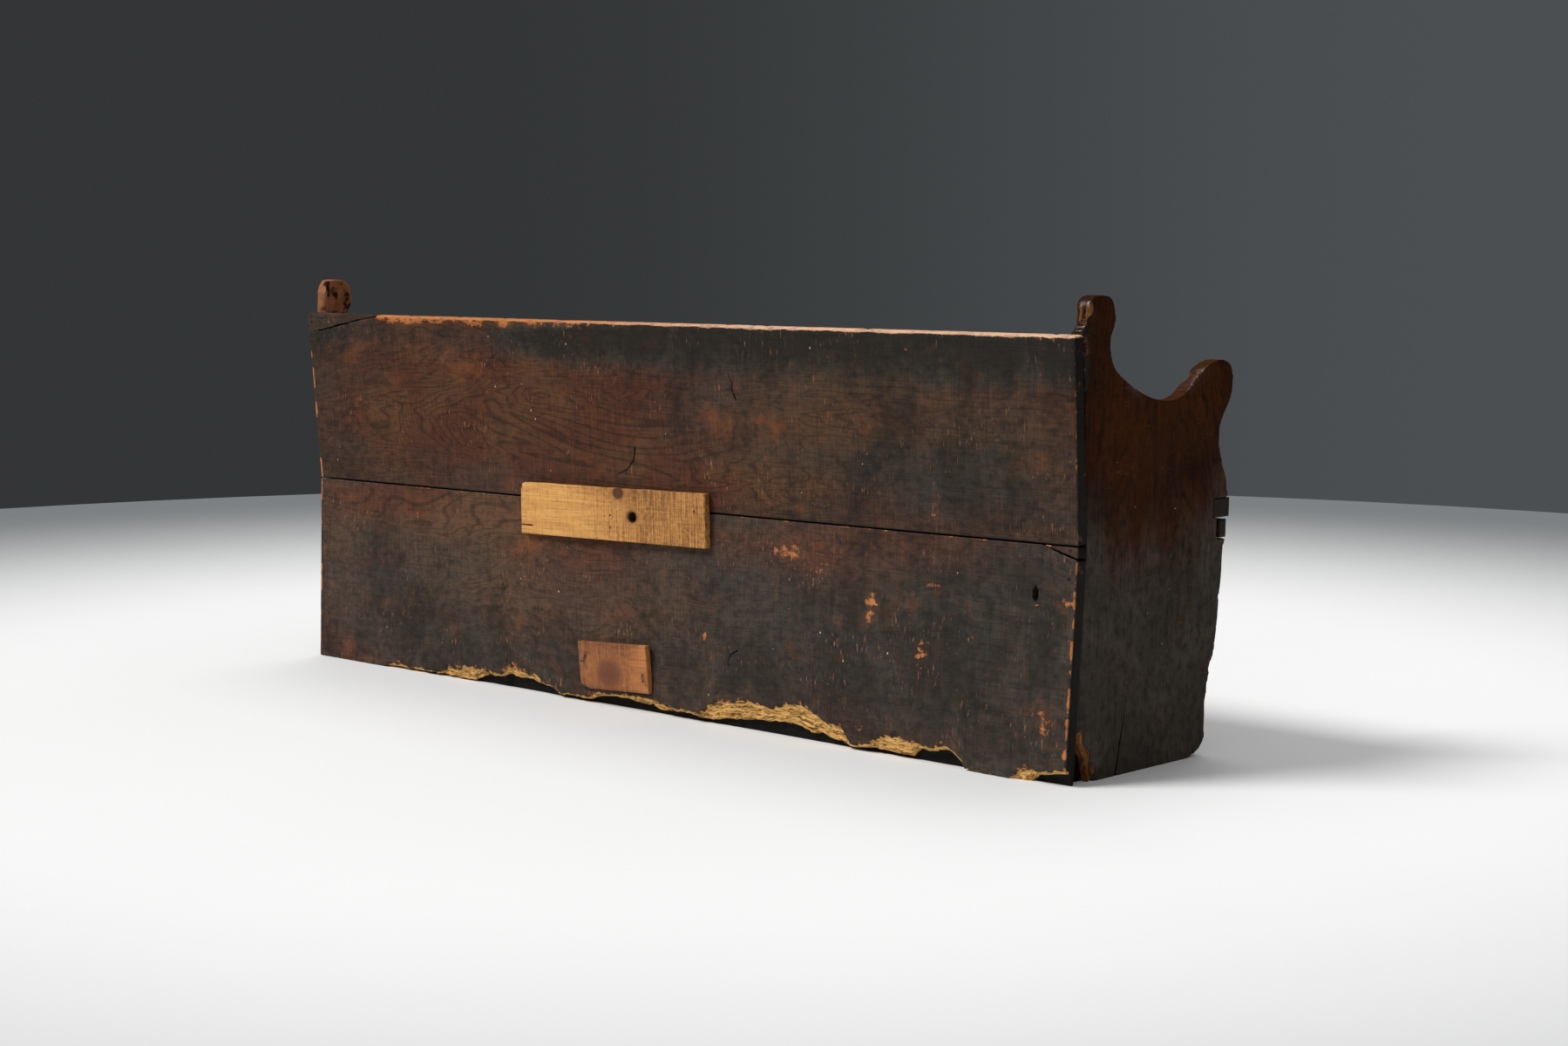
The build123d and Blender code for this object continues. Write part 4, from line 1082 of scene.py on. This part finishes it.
# Long cleat: a sawn softwood board, later than the bench, nailed over the seam. It is pale at the
# sawn end, browned at the other, and has a knot hole, a dark knot and a saw cut.
CLEAT_LENGTH = 511.0
CLEAT_H = 101.0
CLEAT_T = 14.0
CLEAT_AT = (84.0, 369.0)
CLEAT_TILT = math.radians(1.2)
KNOT_HOLE_AT = (-60.0, -3.0)
KNOT_HOLE_R = 9.5
SAW_CUT_LENGTH = 34.0
SAW_CUT_RISE = 17.0
SAW_CUT_H = 3.0
KNOT_ROOM = 11.0


def sawn_pine(name, pale, ochre, brown, heart, knots):
    """Sawn softwood: soft bands along the grain, saw marks across it, and knots with their rings.

    Each knot has a place along and across the board and a size, all in metres.
    """
    coat, tree, shader = new_coat(name)
    grain = add(tree, "Attribute", attribute_name="grain").outputs["Vector"]
    warm, wear = mark(tree, "warm"), mark(tree, "wear")
    around = None
    core = None
    for along, across, size in knots:
        moved = add(tree, "Mapping", {"Vector": grain, "Location": (-along, -across, 0.0)}).outputs[0]
        shaped = add(tree, "Mapping", {"Vector": moved, "Scale": (0.8 / size, 1.0 / size, 0.0)}).outputs[0]
        away = add(tree, "VectorMath", {0: shaped}, operation="LENGTH").outputs["Value"]
        around = away if around is None else maths(tree, "SMOOTH_MIN", around, away, 0.6)
        core = away if core is None else maths(tree, "MINIMUM", core, away)
    wobble = cloud(tree, grain, 6.0, 22.0, 3.0, 0.5, 0.4)
    bands = cloud(tree, grain, 1.6, 26.0, 2.0, 0.4, 0.3)
    swirl = step(tree, around, 3.2, 0.8)
    turned = weigh(tree, around, 1.6, weigh(tree, wobble, 1.2))
    ring_run = add(tree, "Mix", {0: swirl, 2: weigh(tree, bands, 15.0), 3: turned}).outputs[0]
    rings = step(tree, maths(tree, "PINGPONG", ring_run, 1.0), 0.25, 1.0)
    fibre = cloud(tree, grain, 10.0, 520.0, 3.0, 0.6)
    kerf = cloud(tree, grain, 520.0, 12.0, 3.0, 0.7)
    blotch = cloud(tree, grain, 11.0, 26.0, 6.0, 0.65)
    grit = cloud(tree, grain, 110.0, 140.0, 8.0, 0.7)

    face = tint(tree, step(tree, weigh(tree, blotch, 0.8, warm), 0.35, 1.15), pale, ochre)
    face = tint(tree, weigh(tree, rings, 0.45), face, ochre)
    face = veil(tree, face, fibre, 0.48, 0.74, brown, 0.5)
    # Saw marks: darker streaks are painted shade in the grooves, mixed with browning and grime; pale
    # streaks are painted highlights on the ridges.
    grime_and_kerf_shade = weigh(tree, kerf, 0.9, weigh(tree, warm, 0.42, grit))
    face = veil(tree, face, grime_and_kerf_shade, 1.0, 1.45, brown, 0.85)
    face = veil(tree, face, kerf, 0.5, 0.34, pale, 0.4)
    face = veil(tree, face, core, 2.4, 0.9, ochre, 0.6)
    ringed = weigh(tree, wobble, 0.5, core)
    face = veil(tree, face, ringed, 1.9, 1.1, brown, 0.6)
    inmost = step(tree, weigh(tree, wobble, 0.3, core), 1.25, 1.0, 0.0, 0.85)
    face = tint(tree, inmost, face, heart)
    face = tint(tree, weigh(tree, inmost, weigh(tree, rings, 0.5)), face, brown)
    flecks = fleck(tree, grain, 130.0, 110.0, 0.05, 0.22)
    face = tint(tree, flecks, face, colour(70, 44, 26))
    bare = step(tree, weigh(tree, grit, 0.7, wear), 0.8, 1.05)
    face = tint(tree, bare, face, colour(222, 178, 116))
    tree.links.new(face, shader.inputs["Base Color"])
    tree.links.new(step(tree, grit, 0.3, 0.8, 0.55, 0.82), shader.inputs["Roughness"])
    shader.inputs["Specular IOR Level"].default_value = 0.2
    height = weigh(tree, kerf, 0.5, weigh(tree, fibre, 0.5, grit))
    height = weigh(tree, rings, 0.2, height)
    carve(tree, shader, height, strength=0.5, distance=0.0011)
    return coat


def out_of_plane(tilt, lean):
    """Directions along a cleat, up it and out of its face, for its tilt and its lean."""
    out = np.array((0, math.cos(lean), math.sin(lean)))
    along = np.array((math.cos(tilt), 0, -math.sin(tilt)))
    along -= out * (along @ out)
    along /= np.linalg.norm(along)
    return along, np.cross(along, out), out


cleat_coat = sawn_pine(
    "cleat_pine",
    pale=colour(226, 168, 96),
    ochre=colour(186, 128, 68),
    brown=colour(98, 62, 34),
    heart=colour(70, 42, 34),
    knots=((-0.023, 0.041, 0.0115), (KNOT_HOLE_AT[0] / 1000, KNOT_HOLE_AT[1] / 1000, 0.0105)),
)
reach_z = CLEAT_H / 2 * math.cos(CLEAT_TILT) + CLEAT_LENGTH / 2 * math.sin(CLEAT_TILT)
high_y = (CLEAT_AT[1] + reach_z - BEND_Z) * math.tan(RECLINE)
low_y = (BEND_Z - CLEAT_AT[1] + reach_z) * math.tan(LEAN)
cleat_axes = out_of_plane(CLEAT_TILT, math.atan((low_y - high_y) / (2 * reach_z)))
knot_u, knot_v = CLEAT_LENGTH / 2 + KNOT_HOLE_AT[0], CLEAT_H / 2 + KNOT_HOLE_AT[1]
across_knot = [knot_u - KNOT_ROOM, knot_u + KNOT_ROOM]
up_knot = [knot_v - KNOT_ROOM, knot_v + KNOT_ROOM]
us = lines(arris(CLEAT_LENGTH, between=[*across_knot, CLEAT_LENGTH - SAW_CUT_LENGTH]), 2.6)
us = np.unique(np.concatenate([us, lines(across_knot, 1.1)]))
cut_v = (SAW_CUT_RISE - SAW_CUT_H / 2, SAW_CUT_RISE + SAW_CUT_H / 2)
vs = lines(arris(CLEAT_H, between=[*cut_v, *up_knot]), 2.4)
vs = np.unique(np.concatenate([vs, lines(up_knot, 1.1)]))


def cleat_wood(along, across):
    """Cells of the cleat's lattice that the knot hole and the saw cut leave."""
    knot = np.hypot(along - knot_u, across - knot_v) < KNOT_HOLE_R
    return ~knot & ~((along > CLEAT_LENGTH - SAW_CUT_LENGTH) & (across > cut_v[0]) & (across < cut_v[1]))


points, faces = plank(us, vs, lines(arris(CLEAT_T, (0.8, 2.0, 4.0)), 3.0), cleat_wood)
u, v, w = points.T
ragged = 1.0 + 1.6 * mottle(u, v, 13, 101) + 5.0 * (u > CLEAT_LENGTH - 12) * (v > CLEAT_H - 12)
eased = ease(points, (CLEAT_LENGTH, CLEAT_H, CLEAT_T), ragged)
eased[:, 0] += 2.4 * mottle(v, w, 7, 102) * fall(u, 0.5, 4)
eased[:, 1] -= 1.6 * mottle(u, w, 40, 103) * rise(v, CLEAT_H - 3, CLEAT_H)
away = np.hypot(u - knot_u, v - knot_v)
sunk = 1.6 * fall(away, KNOT_HOLE_R, KNOT_HOLE_R + 5) * (w < 0.5)
eased[:, 2] += sunk
local = (eased - (CLEAT_LENGTH / 2, CLEAT_H / 2, CLEAT_T)) * (1, 1, -1)
cleat_foot = np.array((CLEAT_AT[0], SEAM_Y + (low_y + high_y) / 2, CLEAT_AT[1]))
world = cleat_foot + local @ np.array(cleat_axes)
warm = 0.15 + 0.75 * rise(-local[:, 0], -140, 240)
warm += 0.25 * spot(local[:, 0], local[:, 1], (-20, 45), (120, 14))
warm += 0.3 * fall(away, 10, 22) - 0.3 * rise(-local[:, 0], 90, 200)
rim = np.minimum(off_sides(v, CLEAT_H), off_sides(u, CLEAT_LENGTH))
wear = 0.42 * fall(rim, 0.5, 3) * (0.3 + mottle(u, v, 12, 104))
fit_piece("cleat_board", "seam_cleat", "pine", cleat_coat, world, faces, local, warm=warm, wear=wear)


# Small block: an offcut of redder softwood with one big knot, nailed over the gnawed edge with two
# wire nails that are bent over. One bottom corner has broken off.
BLOCK_W = 190.0
BLOCK_H = 91.0
BLOCK_T = 12.5
BLOCK_AT = (69.0, 80.0)
BLOCK_TILT = math.radians(3.0)
BLOCK_CHIP_W = 22.0
BLOCK_CHIP_H = 9.0

block_coat = sawn_pine(
    "block_pine",
    pale=colour(186, 120, 70),
    ochre=colour(144, 90, 54),
    brown=colour(98, 58, 38),
    heart=colour(112, 66, 46),
    knots=((0.011, -0.014, 0.022),),
)
block_axes = out_of_plane(BLOCK_TILT, -LEAN)
points, faces = plank(
    lines(arris(BLOCK_W, between=[BLOCK_W - BLOCK_CHIP_W]), 2.4),
    lines(arris(BLOCK_H), 2.4),
    lines(arris(BLOCK_T, (0.8, 2.0, 4.0)), 3.0),
)
u, v, w = points.T
eased = ease(points, (BLOCK_W, BLOCK_H, BLOCK_T), 1.3 + 2.0 * mottle(u, v, 14, 111))
broken = np.clip((u - BLOCK_W + BLOCK_CHIP_W) / BLOCK_CHIP_W, 0, 1) * BLOCK_CHIP_H
eased[:, 1] = broken + eased[:, 1] * (BLOCK_H - broken) / BLOCK_H
eased[:, 0] += 1.6 * mottle(v, w, 9, 112) * fall(u, 0.5, 4)
local = (eased - (BLOCK_W / 2, BLOCK_H / 2, BLOCK_T)) * (1, 1, -1)
block_up = (BLOCK_AT[1] - BEND_Z) / math.cos(LEAN)
block_foot = np.array((BLOCK_AT[0], SEAM_Y - block_up * math.sin(LEAN), BLOCK_AT[1]))
world = block_foot + local @ np.array(block_axes)
warm = 0.3 + 0.3 * mottle(u, v, 40, 113) + 0.3 * fall(off_sides(v, BLOCK_H), 2, 12)
warm -= 0.4 * rise(-local[:, 0], 25, 80)
rim = np.minimum(off_sides(v, BLOCK_H), off_sides(u, BLOCK_W))
wear = 0.34 * fall(rim, 0.5, 3) * (0.3 + mottle(u, v, 12, 114))
fit_piece("block_board", "bottom_block", "red_pine", block_coat, world, faces, local, warm=warm, wear=wear)


# Nails: hand-forged iron, rusted dark, with faceted heads. The two repairs have later wire nails,
# rusty ones in the cleat and paler ones bent over on the block. The solids give them their shape,
# so they only take a finish.
def rusted(name, iron, rust, metal, dull, size):
    """Old iron: its skin has rust in patches and fine pits."""
    coat, tree, shader = new_coat(name)
    place = add(tree, "TexCoord").outputs["Object"]
    patch = cloud(tree, place, size, size, 6.0, 0.65)
    pits = cloud(tree, place, 4 * size, 4 * size, 4.0, 0.6)
    tree.links.new(tint(tree, step(tree, patch, 0.4, 0.66), iron, rust), shader.inputs["Base Color"])
    tree.links.new(step(tree, patch, 0.35, 0.7, dull, 0.85), shader.inputs["Roughness"])
    shader.inputs["Metallic"].default_value = metal
    carve(tree, shader, pits, strength=0.5, distance=0.0005)
    return coat


forged_coat = rusted("forged_iron", colour(34, 30, 28), colour(64, 42, 30), 0.35, 0.5, 180.0)
wire_coat = rusted("wire_steel", colour(120, 114, 108), colour(96, 66, 46), 0.75, 0.38, 240.0)
rusty_wire_coat = rusted("rusty_wire", colour(52, 38, 30), colour(86, 56, 38), 0.3, 0.55, 240.0)
FORGED = (
    "upper_board_nails", "lower_board_nails", "patch_nail", "sliver_nail",
    "seat_nails", "bearer_nails", "ledger_nails",
)
nail_finish = {node: forged_coat for node in FORGED}
nail_finish.update({"cleat_nails": rusty_wire_coat, "block_nails": wire_coat})
for node, finish in nail_finish.items():
    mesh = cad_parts[node].data
    mesh.materials.clear()
    mesh.materials.append(finish)


# Stage: a plain pale floor whose colour greys towards its rim as painted shade for light falling off,
# a grey surround, and soft studio light: a broad key from high behind the bench, a weaker one over its
# front, and more from overhead. Sizes here are in metres.
FLOOR_R = 4.3
# Radii over which the floor's colour greys: painted light falloff.
FLOOR_FALLOFF = (1.5, 4.1)
SURROUND_SIDE = (-0.72, -0.69, 0.0)

floor_mesh = bpy.data.meshes.new("pale_floor")
shape = bmesh.new()
bmesh.ops.create_circle(shape, cap_ends=True, segments=96, radius=FLOOR_R)
shape.to_mesh(floor_mesh)
shape.free()
floor_coat, floor_tree, floor_shader = new_coat("floor_paint")
floor_place = add(floor_tree, "TexCoord").outputs["Object"]
floor_cloud = cloud(floor_tree, floor_place, 1.5, 1.5, 5.0, 0.6)
floor_tone = tint(floor_tree, floor_cloud, colour(231, 231, 230), colour(235, 235, 234))
from_middle = add(floor_tree, "VectorMath", {0: floor_place}, operation="LENGTH").outputs["Value"]
# Painted shade: the floor's colour greys away from the bench as if the light fell off.
painted_falloff = step(floor_tree, from_middle, *FLOOR_FALLOFF)
floor_tone = tint(floor_tree, painted_falloff, floor_tone, colour(112, 115, 117))
floor_tree.links.new(floor_tone, floor_shader.inputs["Base Color"])
floor_shader.inputs["Roughness"].default_value = 0.75
floor_mesh.materials.append(floor_coat)
pale_floor = bpy.data.objects.new("pale_floor", floor_mesh)
bpy.context.scene.collection.objects.link(pale_floor)

surround = bpy.data.worlds.new("grey_surround")
surround.use_nodes = True
sky = surround.node_tree
rays = add(sky, "LightPath").outputs
mirrored = maths(sky, "MAXIMUM", rays["Is Glossy Ray"], rays["Is Transmission Ray"])
seen = maths(sky, "MAXIMUM", rays["Is Camera Ray"], mirrored)
outlook = add(sky, "TexCoord").outputs["Generated"]
overhead = step(sky, add(sky, "SeparateXYZ", {0: outlook}).outputs["Z"], 0.0, 0.9, 0.14, 0.52)
turned = add(sky, "VectorMath", {0: outlook, 1: SURROUND_SIDE}, operation="DOT_PRODUCT")
backdrop = step(sky, turned.outputs["Value"], -0.12, 0.26, 0.036, 0.079)
strength = add(sky, "Mix", {0: seen, 2: overhead, 3: backdrop}).outputs[0]
sky.links.new(strength, sky.nodes["Background"].inputs["Strength"])
air = tint(sky, seen, (0.98, 0.99, 1.0, 1.0), (0.91, 0.99, 1.04, 1.0))
sky.links.new(air, sky.nodes["Background"].inputs["Color"])
bpy.context.scene.world = surround


def soft_key(name, toward, power, spread):
    """Broad even light from one side of the room, as soft as its spread in degrees."""
    light = bpy.data.lights.new(name, "SUN")
    light.energy = power
    light.angle = math.radians(spread)
    lamp = bpy.data.objects.new(name, light)
    lamp.rotation_euler = (-Vector(toward)).to_track_quat("-Z", "Y").to_euler()
    bpy.context.scene.collection.objects.link(lamp)


soft_key("back_key", (0.40, 0.54, 0.74), 2.7, 22.0)
soft_key("front_key", (0.2, -0.36, 0.91), 0.55, 30.0)

lens = bpy.data.cameras.new("photo_lens")
lens.sensor_fit = "HORIZONTAL"
lens.sensor_width = 36.0
lens.lens = 61.25
camera = bpy.data.objects.new("photo_camera", lens)
camera.location = (-3.604, 3.6155, 0.900)
camera.rotation_euler = Vector((0.6851, -0.7203, -0.1088)).to_track_quat("-Z", "Y").to_euler()
bpy.context.scene.collection.objects.link(camera)
bpy.context.scene.camera = camera
bpy.context.scene.view_settings.view_transform = "Standard"
